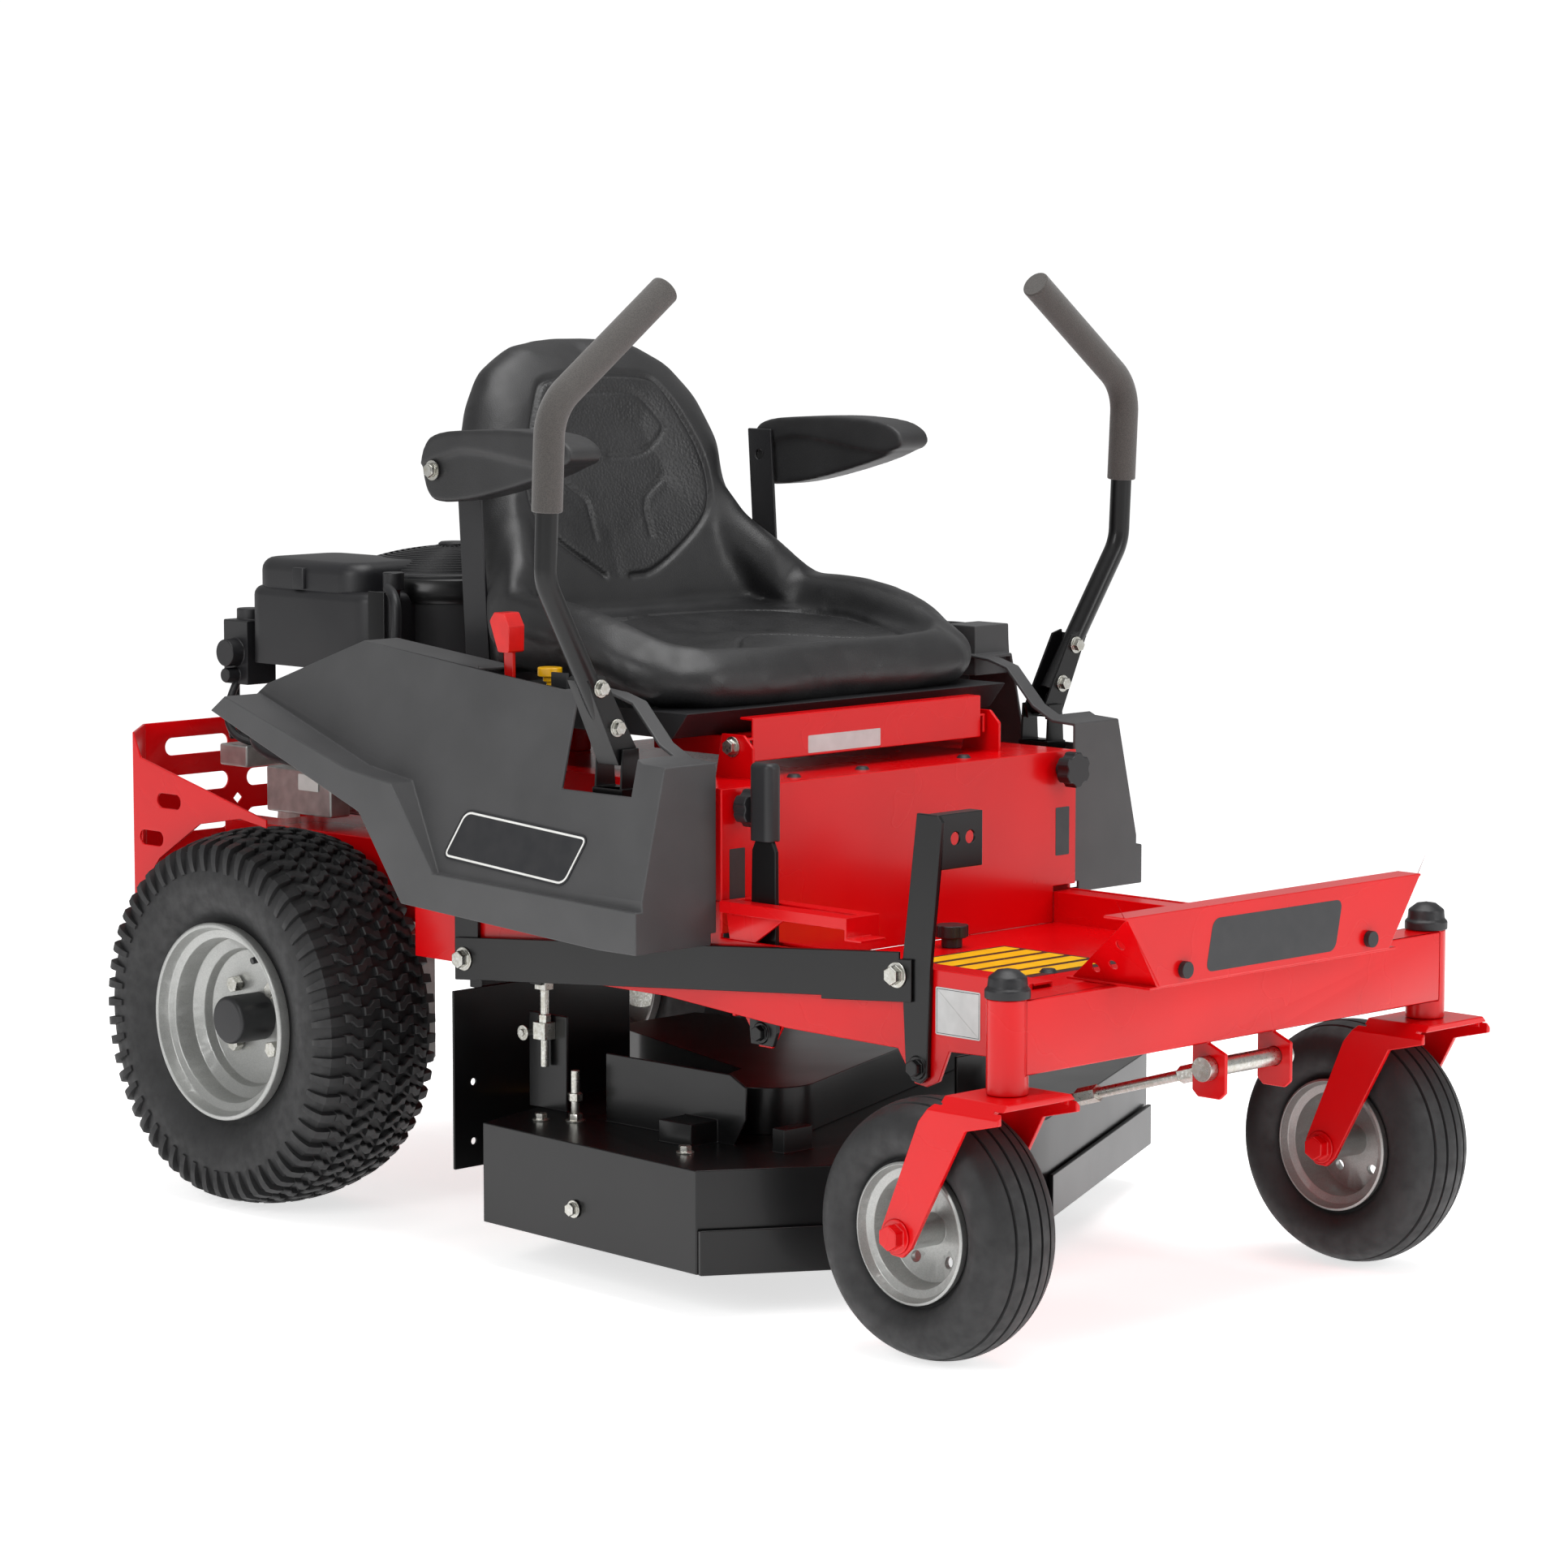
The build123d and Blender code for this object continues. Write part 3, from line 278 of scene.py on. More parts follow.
looks = {
    "red_paint": powderCoat("redPowderCoat", "D60007", "CC0006", 0.26, 0.15),
    "black_paint": powderCoat("blackPowderCoat", "0A0A0B", "0F0F10", 0.3, 0.1),
    "silver_paint": silverPaint(),
    "grey_plastic": mouldedPlastic("grainedPolypropylene", "3E3E3F", "464647", 0.52),
    "black_plastic": mouldedPlastic("blackPolypropylene", "17171A", "1F1F21", 0.45, 1.2, 0.08),
    "soft_black_plastic": softSkin(),
    "red_plastic": glossPlastic("redAbs", "D8120E", "C50D0A"),
    "yellow_plastic": glossPlastic("yellowAbs", "F2B705", "E3A800"),
    "tyre_rubber": tyreRubber(),
    "grey_foam": foamSleeve(),
    "black_vinyl": seatVinyl(),
    "zinc_steel": zincPlate(),
    "cast_aluminium": castAluminium(),
    "aluminised_steel": aluminisedSteel(),
}
film = {
    "dark": printedFilm("darkLabelFilm", "202124", "29292B"),
    "white": printedFilm("whiteLabelFilm", "E9E9E6", "DCDCD8"),
    "silver": printedFilm("silverLabelFilm", "C9CAC9", "BCBDBC", 0.32),
    "yellow": printedFilm("yellowLabelFilm", "F4C20D", "E8B200"),
}
print("materials ready")


def newPiece(name, bm, slotName, body, smoothAngle=35, material=None):
    mesh = bpy.data.meshes.new(name)
    bm.to_mesh(mesh)
    bm.free()
    piece = bpy.data.objects.new(name, mesh)
    scene.collection.objects.link(piece)
    mesh.materials.append(material or looks[slotName])
    mesh.shade_smooth()
    mesh.set_sharp_from_angle(angle=math.radians(smoothAngle))
    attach(piece, body)
    return piece


def bakeModifiers(piece):
    evaluated = piece.evaluated_get(bpy.context.evaluated_depsgraph_get())
    mesh = bpy.data.meshes.new_from_object(evaluated)
    piece.modifiers.clear()
    piece.data = mesh
    return mesh


def coordinates(mesh):
    flat = np.zeros(len(mesh.vertices) * 3, np.float32)
    mesh.vertices.foreach_get("co", flat)
    return flat.reshape(-1, 3).astype(float)


def setCoordinates(mesh, points):
    mesh.vertices.foreach_set("co", points.astype(np.float32).ravel())
    mesh.update()


def addPrism(bm, corners, thickness):  # thickness is a vector
    face = bm.faces.new([bm.verts.new(c) for c in corners])
    grown = bmesh.ops.extrude_face_region(bm, geom=[face])["geom"]
    moved = [v for v in grown if isinstance(v, bmesh.types.BMVert)]
    bmesh.ops.translate(bm, verts=moved, vec=thickness)
    return [f for f in grown if isinstance(f, bmesh.types.BMFace)][0]  # the far face


def addFrom(bm, other):
    mesh = bpy.data.meshes.new("joined")
    other.to_mesh(mesh)
    other.free()
    bm.from_mesh(mesh)
    bpy.data.meshes.remove(mesh)


def bevelEdges(bm, edges, width, segments):
    bmesh.ops.bevel(bm, geom=edges, offset=width * mm, segments=segments, profile=0.5, affect="EDGES",
                    offset_type="OFFSET", clamp_overlap=True, material=-1)


def addLathe(bm, profile, centre, axis, steps=72, closed=False):
    # profile is a list of points in metres round an axis through centre
    verts = [bm.verts.new(p) for p in profile]
    pairs = list(zip(verts, verts[1:])) + ([(verts[-1], verts[0])] if closed else [])
    edges = [bm.edges.new(pair) for pair in pairs]
    bmesh.ops.spin(bm, geom=verts + edges, cent=centre, axis=axis, angle=math.tau, steps=steps,
                   use_merge=True)
    bmesh.ops.remove_doubles(bm, verts=bm.verts, dist=0.00001)
    bmesh.ops.recalc_face_normals(bm, faces=bm.faces)


def addRod(bm, start, end, radius, segments=24, endRadius=None):
    axis = end - start
    made = bmesh.ops.create_cone(bm, cap_ends=True, segments=segments, radius1=radius * mm,
                                 radius2=(endRadius or radius) * mm, depth=axis.length)["verts"]
    turn = axis.to_track_quat("Z", "Y").to_matrix().to_4x4()
    bmesh.ops.transform(bm, verts=made, matrix=Matrix.Translation((start + end) / 2) @ turn)
    return made


bolt = {"washer": 0.78, "washerThick": 1.6, "head": 0.577, "tall": 0.42, "ease": 0.04, "pad": 0.4}


def addBolt(bm, seat, axis, size):
    # hexagon head on a flanged washer, standing on seat; the shares are of the size across flats
    way = Vector(axis) * mm
    tall = size * bolt["tall"]
    addRod(bm, seat, seat + way * bolt["washerThick"], size * bolt["washer"], 28)
    head = addRod(bm, seat + way * 1.5, seat + way * (1.5 + tall), size * bolt["head"], 6)
    rims = {e for v in head for e in v.link_edges if e.calc_face_angle(0) > 1}
    bevelEdges(bm, list(rims), size * bolt["ease"], 1)
    addRod(bm, seat + way * (1.4 + tall), seat + way * (2.1 + tall), size * bolt["pad"], 24)


def hose(name, route, radius):
    # a moulded hose that is fixed at both ends: a NURBS line with a round section, made a mesh
    curve = bpy.data.curves.new(name + "Line", "CURVE")
    curve.dimensions = "3D"
    spline = curve.splines.new("NURBS")
    spline.points.add(len(route) - 1)
    for point, place in zip(spline.points, route):
        point.co = (*at(*place), 1)
    spline.order_u = 3
    spline.use_endpoint_u = True
    spline.resolution_u = 12
    curve.bevel_depth = radius * mm
    curve.bevel_resolution = 5
    curve.use_fill_caps = True
    holder = bpy.data.objects.new(name + "Line", curve)
    scene.collection.objects.link(holder)
    bpy.context.view_layer.update()
    mesh = bpy.data.meshes.new_from_object(holder.evaluated_get(bpy.context.evaluated_depsgraph_get()))
    bpy.data.objects.remove(holder)
    bm = bmesh.new()
    bm.from_mesh(mesh)
    bmesh.ops.remove_doubles(bm, verts=bm.verts, dist=0.00001)
    bmesh.ops.recalc_face_normals(bm, faces=bm.faces)
    newPiece(name, bm, "black_plastic", "chassis", 50)


def islandsOf(bm):
    left = set(bm.faces)
    while left:
        group = [left.pop()]
        for face in group:
            for edge in face.edges:
                for other in edge.link_faces:
                    if other in left:
                        left.remove(other)
                        group.append(other)
        corners = [v.co for f in group for v in f.verts]
        low = Vector([min(c[i] for c in corners) for i in range(3)]) / mm
        high = Vector([max(c[i] for c in corners) for i in range(3)]) / mm
        yield group, low, high


def easedCopy(node, slotName, width=0.8, segments=2, second=None, keep=None):
    # the CAD shape with its sharp edges eased; second = (slot, test) gives some solids another finish
    bm = bmesh.new()
    bm.from_mesh(nodes[node].data)
    bmesh.ops.remove_doubles(bm, verts=bm.verts, dist=0.00002)
    bmesh.ops.dissolve_limit(bm, angle_limit=math.radians(1), verts=bm.verts, edges=bm.edges)
    if second or keep:
        for group, low, high in list(islandsOf(bm)):
            if keep and not keep(low, high):
                bmesh.ops.delete(bm, geom=group, context="FACES")
            elif second and second[1](low, high):
                for face in group:
                    face.material_index = 1
    piece = newPiece(node + "_eased", bm, slotName, nodes[node]["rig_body"], 32)
    if second:
        piece.data.materials.append(looks[second[0]])
    bevel = piece.modifiers.new("ease", "BEVEL")
    bevel.width = width * mm
    bevel.segments = segments
    bevel.limit_method = "ANGLE"
    bevel.angle_limit = math.radians(32)
    bevel.use_clamp_overlap = False
    bevel.harden_normals = True
    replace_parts(piece, node)


view = {"place": (-4.05668, -4.04338, 1.19477), "down": 6.603, "yaw": 45.055, "lens": 113.4, "reach": 60}


def makeCamera():
    camera = bpy.data.objects.new("camera", bpy.data.cameras.new("camera"))
    scene.collection.objects.link(camera)
    camera.location = view["place"]
    camera.rotation_euler = (math.radians(90 - view["down"]), 0, math.radians(-view["yaw"]))
    camera.data.lens = view["lens"]
    camera.data.clip_end = view["reach"]
    scene.camera = camera


studio = {
    # each softbox: its place, where it points, its size, and its power in watts
    "softboxes": {
        "overhead": ((0.0, -0.5, 3.4), (0, 0, 0.3), (2.2, 2.8), 78),
        "leftFront": ((-3.8, -0.6, 2.3), (0, 0, 0.5), (1.3, 2.0), 46),
        "rightFront": ((1.2, -4.0, 1.9), (0, 0, 0.5), (1.2, 2.0), 40),
    },
    "skyOnObject": 0.4, "skyBehind": 1.05,
    "floorSize": 9, "floorDrop": 0.0008, "floorGlow": 0.68, "floorColours": ("F6F6F6", "FAFAFA"),
}


def softbox(name, place, target, size, power):
    light = bpy.data.lights.new(name, "AREA")
    light.shape = "RECTANGLE"
    light.size, light.size_y = size
    light.energy = power
    holder = bpy.data.objects.new(name, light)
    holder.location = place
    holder.rotation_euler = (Vector(target) - Vector(place)).to_track_quat("-Z", "Y").to_euler()
    scene.collection.objects.link(holder)


def makeStudio():
    world = bpy.data.worlds.new("studio")
    scene.world = world
    world.use_nodes = True
    sky = world.node_tree
    sky.nodes["Background"].inputs["Color"].default_value = (1, 1, 1, 1)
    seen = addNode(sky, "ShaderNodeLightPath").outputs["Is Camera Ray"]
    strength = addNode(sky, "ShaderNodeMapRange", None, {
        "Value": seen, "From Min": 0, "From Max": 1,
        "To Min": studio["skyOnObject"], "To Max": studio["skyBehind"]})
    sky.links.new(strength.outputs["Result"], sky.nodes["Background"].inputs["Strength"])
    for name, values in studio["softboxes"].items():
        softbox(name, *values)
    bm = bmesh.new()
    bmesh.ops.create_grid(bm, x_segments=8, y_segments=8, size=studio["floorSize"])
    mesh = bpy.data.meshes.new("floor")
    bm.to_mesh(mesh)
    bm.free()
    floor = bpy.data.objects.new("floor", mesh)
    floor.location = (0, 0, -studio["floorDrop"])
    scene.collection.objects.link(floor)
    paper, skin = startMaterial("paleBackdrop", 0.85)
    patchyColour(skin, 700, 2, *studio["floorColours"])
    _, shader, _ = skin
    shader.inputs["Emission Color"].default_value = (1, 1, 1, 1)
    shader.inputs["Emission Strength"].default_value = studio["floorGlow"]
    mesh.materials.append(paper)
    scene.view_settings.view_transform = "Standard"


makeCamera()
makeStudio()
print("studio ready")


seatPad = {
    "slab": ((-246, -76, 655), (246, 280, 686)), "slabCorner": 60, "rise": 24,
    "backThick": 60, "wrap": 8, "ballStep": 13,
    "voxel": 6, "firstSmoothing": 16, "lastSmoothing": 14,
    "frames": 20, "mass": 0.35, "stretch": 20, "bending": 6, "pressure": 3.0, "cap": 9,
    "grooveDepth": 5.0, "grooveWidth": 3.0, "headGroove": 0.55,
    "dish": 9, "dishReach": 90, "backDish": 7, "backDishReach": 60, "backFrom": 742, "topUntil": 262,
}
# centre line of the rolled edge: x, y, z and its radius, from the middle of the front to the top of the back
rolledEdge = [
    (0, -72, 668, 30), (120, -74, 668, 30), (196, -66, 671, 31), (236, -36, 677, 33), (248, -8, 685, 34),
    (253, 24, 695, 36), (255, 54, 704, 36), (255, 91, 711, 37), (253, 130, 716, 37), (250, 170, 718, 37),
    (246, 206, 719, 36), (232, 230, 735, 33), (208, 256, 768, 34), (186, 296, 806, 36),
    (178, 324, 850, 36), (173, 336, 905, 35), (153, 350, 955, 33), (128, 362, 990, 30),
    (84, 369, 1013, 29), (40, 373, 1019, 28), (0, 374, 1021, 28),
]
backHalfOutline = [(232, 664), (230, 735), (192, 800), (180, 850), (173, 905), (155, 955), (128, 990),
                   (84, 1013), (40, 1019)]
# heights, and the middle of the back's thickness at each
backLean = ([670, 760, 800, 905, 1000, 1042], [284, 303, 311, 334, 362, 376])
backPanel = [(0, 1003), (82, 1000), (104, 985), (146, 900), (148, 850), (128, 818), (42, 764), (0, 762)]
headPanel = [(0, 981), (60, 981), (95, 941), (90, 929), (58, 905), (0, 905)]
spineLine = [(45, 809), (45, 846), (52, 858), (80, 876)]
cushionPanel = [(0, 58), (38, 44), (86, -8), (140, -34), (188, -10), (212, 70), (206, 170), (160, 222),
                (0, 232)]


def mirroredLine(points):
    return [(-x, z) for x, z in reversed(points) if x > 0] + points


def softened(line, rounds=2):  # cuts the corners off a line
    for _ in range(rounds):
        cut = [line[0]]
        for a, b in zip(line, line[1:]):
            cut.append(tuple(p * 0.75 + q * 0.25 for p, q in zip(a, b)))
            cut.append(tuple(p * 0.25 + q * 0.75 for p, q in zip(a, b)))
        line = cut + [line[-1]]
    return line


def distanceTo(points, lines):
    best = np.full(len(points), 1e9)
    for line in lines:
        for a, b in zip(line, line[1:]):
            start, run = np.array(a, float), np.array(b, float) - np.array(a, float)
            t = np.clip(((points - start) @ run) / max(run @ run, 1e-9), 0, 1)
            best = np.minimum(best, np.linalg.norm(points - (start + t[:, None] * run), axis=1))
    return best


def insideOf(points, outline):
    hit = np.zeros(len(points), bool)
    for (ax, az), (bx, bz) in zip(outline, outline[1:] + outline[:1]):
        crosses = (az > points[:, 1]) != (bz > points[:, 1])
        with np.errstate(divide="ignore", invalid="ignore"):
            edge = (bx - ax) * (points[:, 1] - az) / (bz - az) + ax
        hit ^= crosses & (points[:, 0] < edge)
    return hit


def addCushionForm(bm):
    low, high = seatPad["slab"]
    slab = bmesh.new()
    cube = bmesh.ops.create_cube(slab, size=1)["verts"]
    bmesh.ops.scale(slab, verts=cube, vec=Vector([b - a for a, b in zip(low, high)]) * mm)
    bmesh.ops.translate(slab, verts=cube, vec=at(*[(a + b) / 2 for a, b in zip(low, high)]))
    corners = [e for e in slab.edges if abs(e.verts[0].co.z - e.verts[1].co.z) > 0.01]
    bevelEdges(slab, corners, seatPad["slabCorner"], 6)
    for vert in slab.verts:  # the seat's floor rises towards the back
        vert.co.z += seatPad["rise"] * mm * max(0, (vert.co.y / mm - 20) / 240)
    addFrom(bm, slab)


def addBackForm(bm):
    p = seatPad
    back = bmesh.new()
    outline = mirroredLine(backHalfOutline)
    addPrism(back, [at(x, 0, z) for x, z in outline], at(0, p["backThick"], 0))
    for height in range(690, 1030, 20):
        bmesh.ops.bisect_plane(back, geom=list(back.verts) + list(back.edges) + list(back.faces),
                               plane_co=at(0, 0, height), plane_no=(0, 0, 1))
    for across in range(-200, 201, 25):
        bmesh.ops.bisect_plane(back, geom=list(back.verts) + list(back.edges) + list(back.faces),
                               plane_co=at(across, 0, 0), plane_no=(1, 0, 0))
    for vert in back.verts:
        x, y, z = vert.co / mm
        middle = np.interp(z, *backLean) - p["backThick"] / 2 - p["wrap"] * (x / 200) ** 2
        vert.co = at(x, y + middle, z)
    addFrom(bm, back)


def addRolledEdge(bm):
    for start, end in zip(rolledEdge, rolledEdge[1:]):
        count = math.ceil((Vector(end[:3]) - Vector(start[:3])).length / seatPad["ballStep"])
        for i in range(count):
            x, y, z, radius = Vector(start).lerp(Vector(end), i / count)
            for side in (-1, 1):
                ball = bmesh.ops.create_icosphere(bm, subdivisions=3, radius=radius * mm)["verts"]
                bmesh.ops.translate(bm, verts=ball, vec=at(side * x, y, z))


def inflate(piece):
    p = seatPad
    start = coordinates(piece.data)
    cloth = piece.modifiers.new("cloth", "CLOTH")
    cloth.settings.quality = 5
    cloth.settings.mass = p["mass"]
    cloth.settings.tension_stiffness = p["stretch"]
    cloth.settings.compression_stiffness = p["stretch"]
    cloth.settings.bending_stiffness = p["bending"]
    cloth.settings.use_pressure = True
    cloth.settings.uniform_pressure_force = p["pressure"]
    cloth.settings.effector_weights.gravity = 0
    cloth.point_cache.frame_start = 1
    cloth.point_cache.frame_end = p["frames"]
    for number in range(1, p["frames"] + 1):
        scene.frame_set(number)
    evaluated = piece.evaluated_get(bpy.context.evaluated_depsgraph_get())
    end = coordinates(evaluated.data)
    piece.modifiers.clear()
    scene.frame_set(1)
    move = end - start
    size = np.linalg.norm(move, axis=1, keepdims=True)
    print("seat foam moved up to", round(float(size.max()) / mm, 1), "mm")
    setCoordinates(piece.data, start + move * np.minimum(1, p["cap"] * mm / np.maximum(size, 1e-9)))


def sinkPanels(mesh):
    # dishes, grooves and the coarser grain inside the grooves, on the padded faces only
    p = seatPad
    points = coordinates(mesh) / mm
    normals = np.zeros(len(points) * 3, np.float32)
    mesh.vertex_normals.foreach_get("vector", normals)
    normals = normals.reshape(-1, 3).astype(float)
    isBack = (points[:, 2] > p["backFrom"]) & (normals[:, 1] < -0.35)
    isTop = (points[:, 2] < p["backFrom"]) & (normals[:, 2] > 0.55) & (points[:, 1] < p["topUntil"])
    faceOn = points[:, [0, 2]]
    plan = points[:, [0, 1]]
    backLine = mirroredLine(backPanel)
    seatLine = mirroredLine(cushionPanel)
    headLines = [mirroredLine(headPanel)] + [[(s * x, z) for x, z in spineLine] for s in (-1, 1)]
    depth = np.zeros(len(points))
    width = p["grooveWidth"]
    near = distanceTo(faceOn, [softened(backLine)])
    depth += isBack * p["grooveDepth"] * np.exp(-(near / width) ** 2)
    nearHead = distanceTo(faceOn, [softened(line) for line in headLines])
    depth += isBack * p["headGroove"] * p["grooveDepth"] * np.exp(-(nearHead / width) ** 2)
    nearSeat = distanceTo(plan, [softened(seatLine)])
    depth += isTop * p["grooveDepth"] * np.exp(-(nearSeat / width) ** 2)
    inBack = insideOf(faceOn, backLine) & isBack
    inSeat = insideOf(plan, seatLine) & isTop
    depth += inBack * p["backDish"] * np.clip(near / p["backDishReach"], 0, 1) ** 1.5
    depth += inSeat * p["dish"] * np.clip(nearSeat / p["dishReach"], 0, 1) ** 1.2
    setCoordinates(mesh, (points - normals * depth[:, None]) * mm)
    panel = mesh.attributes.new("panel", "FLOAT", "POINT")
    inside = np.where(inBack, np.clip(near / 4, 0, 1), 0) + np.where(inSeat, np.clip(nearSeat / 4, 0, 1), 0)
    panel.data.foreach_set("value", inside.astype(np.float32))


def makeSeat():
    bm = bmesh.new()
    addCushionForm(bm)
    addBackForm(bm)
    addRolledEdge(bm)
    bmesh.ops.recalc_face_normals(bm, faces=bm.faces)
    piece = newPiece("seatPad", bm, "black_vinyl", "seat", 180)
    remesh = piece.modifiers.new("skin", "REMESH")
    remesh.mode = "VOXEL"
    remesh.voxel_size = seatPad["voxel"] * mm
    remesh.use_smooth_shade = True
    smooth = piece.modifiers.new("round", "SMOOTH")
    smooth.factor = 0.5
    smooth.iterations = seatPad["firstSmoothing"]
    bakeModifiers(piece)
    inflate(piece)
    settle = piece.modifiers.new("settle", "SMOOTH")
    settle.factor = 0.5
    settle.iterations = seatPad["lastSmoothing"]
    subdivide = piece.modifiers.new("fine", "SUBSURF")
    subdivide.levels = 1
    subdivide.render_levels = 1
    mesh = bakeModifiers(piece)
    sinkPanels(mesh)
    mesh.shade_smooth()
    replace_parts(piece, "seat_cushion", "seat_back")
    print("seat", len(mesh.vertices), "points")


armrest = {
    "inner": 244.5, "outer": 294.5, "voxel": 2.4, "smoothing": 9, "bolt": (287, 898), "boltSize": 15,
    "pad": [(311, 902), (305, 925), (287, 942), (220, 947), (146, 949), (85, 945), (58, 935), (50, 922),
            (56, 912), (84, 906), (146, 914), (230, 925), (270, 915)],
    "web": [(311, 896), (302, 932), (250, 936), (70, 920), (62, 906), (202, 869), (284, 859), (303, 870)],
}


def makeArmrests():
    a = armrest
    for side, name in ((-1, "right"), (1, "left")):
        bm = bmesh.new()
        for outline, inset, rounding in ((a["pad"], 0, 9), (a["web"], 4, 6)):
            shell = bmesh.new()
            low, high = a["inner"] + inset, a["outer"] - inset
            rounded = softened(outline + outline[:1], 2)[1:-1]
            addPrism(shell, [at(side * low, y, z) for y, z in rounded], at(side * (high - low), 0, 0))
            rims = [e for e in shell.edges if abs(e.verts[0].co.x - e.verts[1].co.x) < 1e-6]
            bmesh.ops.recalc_face_normals(shell, faces=shell.faces)
            bevelEdges(shell, rims, rounding, 4)
            addFrom(bm, shell)
        bmesh.ops.recalc_face_normals(bm, faces=bm.faces)
        piece = newPiece("armrest_" + name + "_pad", bm, "soft_black_plastic", "armrest_" + name, 180)
        remesh = piece.modifiers.new("skin", "REMESH")
        remesh.mode = "VOXEL"
        remesh.voxel_size = a["voxel"] * mm
        smooth = piece.modifiers.new("round", "SMOOTH")
        smooth.factor = 0.5
        smooth.iterations = a["smoothing"]
        bakeModifiers(piece).shade_smooth()
        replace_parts(piece, "armrest_" + name)
        bm = bmesh.new()
        addBolt(bm, at(side * (a["outer"] - 0.5), *a["bolt"]), (side, 0, 0), a["boltSize"])
        newPiece("armrest_" + name + "_bolt", bm, "zinc_steel", "armrest_" + name)
    print("armrests ready")


makeSeat()
makeArmrests()


rearTyre = {"radius": 228.6, "half": 84, "bead": 104, "flange": 121, "seat": 64.8, "wall": 9, "crown": 13,
            "lug": 7.5, "rows": 56, "blockHalf": 11.5, "pitchX": 25.5}
casterTyre = {"radius": 139.7, "half": 52, "bead": 66, "flange": 77, "seat": 33.8, "wall": 8, "crown": 14,
              "grooves": (-26, -9, 9, 26), "grooveDepth": 3}


def arcThrough(a, b, c, steps):
    # points on the circle through three (across, radius) points
    a, b, c = Vector(a), Vector(b), Vector(c)
    d = 2 * (a.x * (b.y - c.y) + b.x * (c.y - a.y) + c.x * (a.y - b.y))
    aa, bb, cc = a.length_squared, b.length_squared, c.length_squared
    middle = Vector(((aa * (b.y - c.y) + bb * (c.y - a.y) + cc * (a.y - b.y)) / d,
                     (aa * (c.x - b.x) + bb * (a.x - c.x) + cc * (b.x - a.x)) / d))
    start, end = (a - middle), (c - middle)
    sweep = start.angle_signed(end)
    return [tuple(middle + Matrix.Rotation(-sweep * i / steps, 2) @ start) for i in range(steps + 1)]


def tyreProfile(t, base):
    # closed section of the carcass; base is how far the tread's floor lies under the lugs
    shoulder = t["radius"] - t["crown"] - base
    waist = (t["flange"] + t["radius"] - t["crown"]) / 2
    tread = t["half"] - 8
    crown = arcThrough((-tread, shoulder), (0, t["radius"] - base), (tread, shoulder), 24)
    wall = arcThrough((tread, shoulder), (t["half"] - base * 0.15, waist), (t["seat"], t["flange"]), 12)
    left = [(-x, r) for x, r in reversed(wall)]
    inner = arcThrough((t["seat"] - t["wall"], t["bead"]), (t["half"] - t["wall"] - 2, waist),
                       (tread - t["wall"], shoulder - t["wall"]), 8)
    inside = inner + [(-x, r) for x, r in reversed(inner)]
    return left + crown[1:] + wall[1:], [(t["seat"], t["bead"])] + inside + [(-t["seat"], t["bead"])]


def wheelPoint(centre, across, radius, angle=0.0):
    return centre + at(across, -radius * math.sin(angle), radius * math.cos(angle))


def addTurfLugs(bm, t, centre):
    crown = t["radius"] - t["lug"]
    bend = ((t["half"] - 8) ** 2 + t["crown"] ** 2) / (2 * t["crown"])

    def place(across, along, height):
        drop = bend - math.sqrt(bend ** 2 - across ** 2)
        return wheelPoint(centre, across, crown - drop + height, along / t["radius"])

    pitch = math.tau * t["radius"] / t["rows"]
    w = t["blockHalf"]
    zigzag = [(-w, -8), (-3, -8), (4, -1), (w, -1), (w, 10), (3, 10), (-4, 3), (-w, 3)]
    row = bmesh.new()
    for column in range(-2, 3):
        flip = -1 if column % 2 else 1
        offset = (column % 2) * pitch / 2
        corners = [Vector((column * t["pitchX"] + flip * x, s + offset, -1)) for x, s in zigzag]
        block = bmesh.new()
        top = addPrism(block, corners, Vector((0, 0, t["lug"] + 1)))
        bmesh.ops.bevel(block, geom=list(top.edges), offset=1.3, segments=1, profile=0.5, affect="EDGES",
                        offset_type="OFFSET", clamp_overlap=True, material=-1)
        for vert in block.verts:
            vert.co = place(*vert.co)
        addFrom(row, block)
    for side in (-1, 1):
        addFrom(row, shoulderLug(t, centre, pitch, side))
    share = (t["rows"] - 1) / t["rows"]
    bmesh.ops.spin(row, geom=list(row.verts) + list(row.edges) + list(row.faces), cent=centre,
                   axis=(1, 0, 0), angle=math.tau * share, steps=t["rows"] - 1, use_duplicate=True)
    bmesh.ops.recalc_face_normals(row, faces=row.faces)
    addFrom(bm, row)


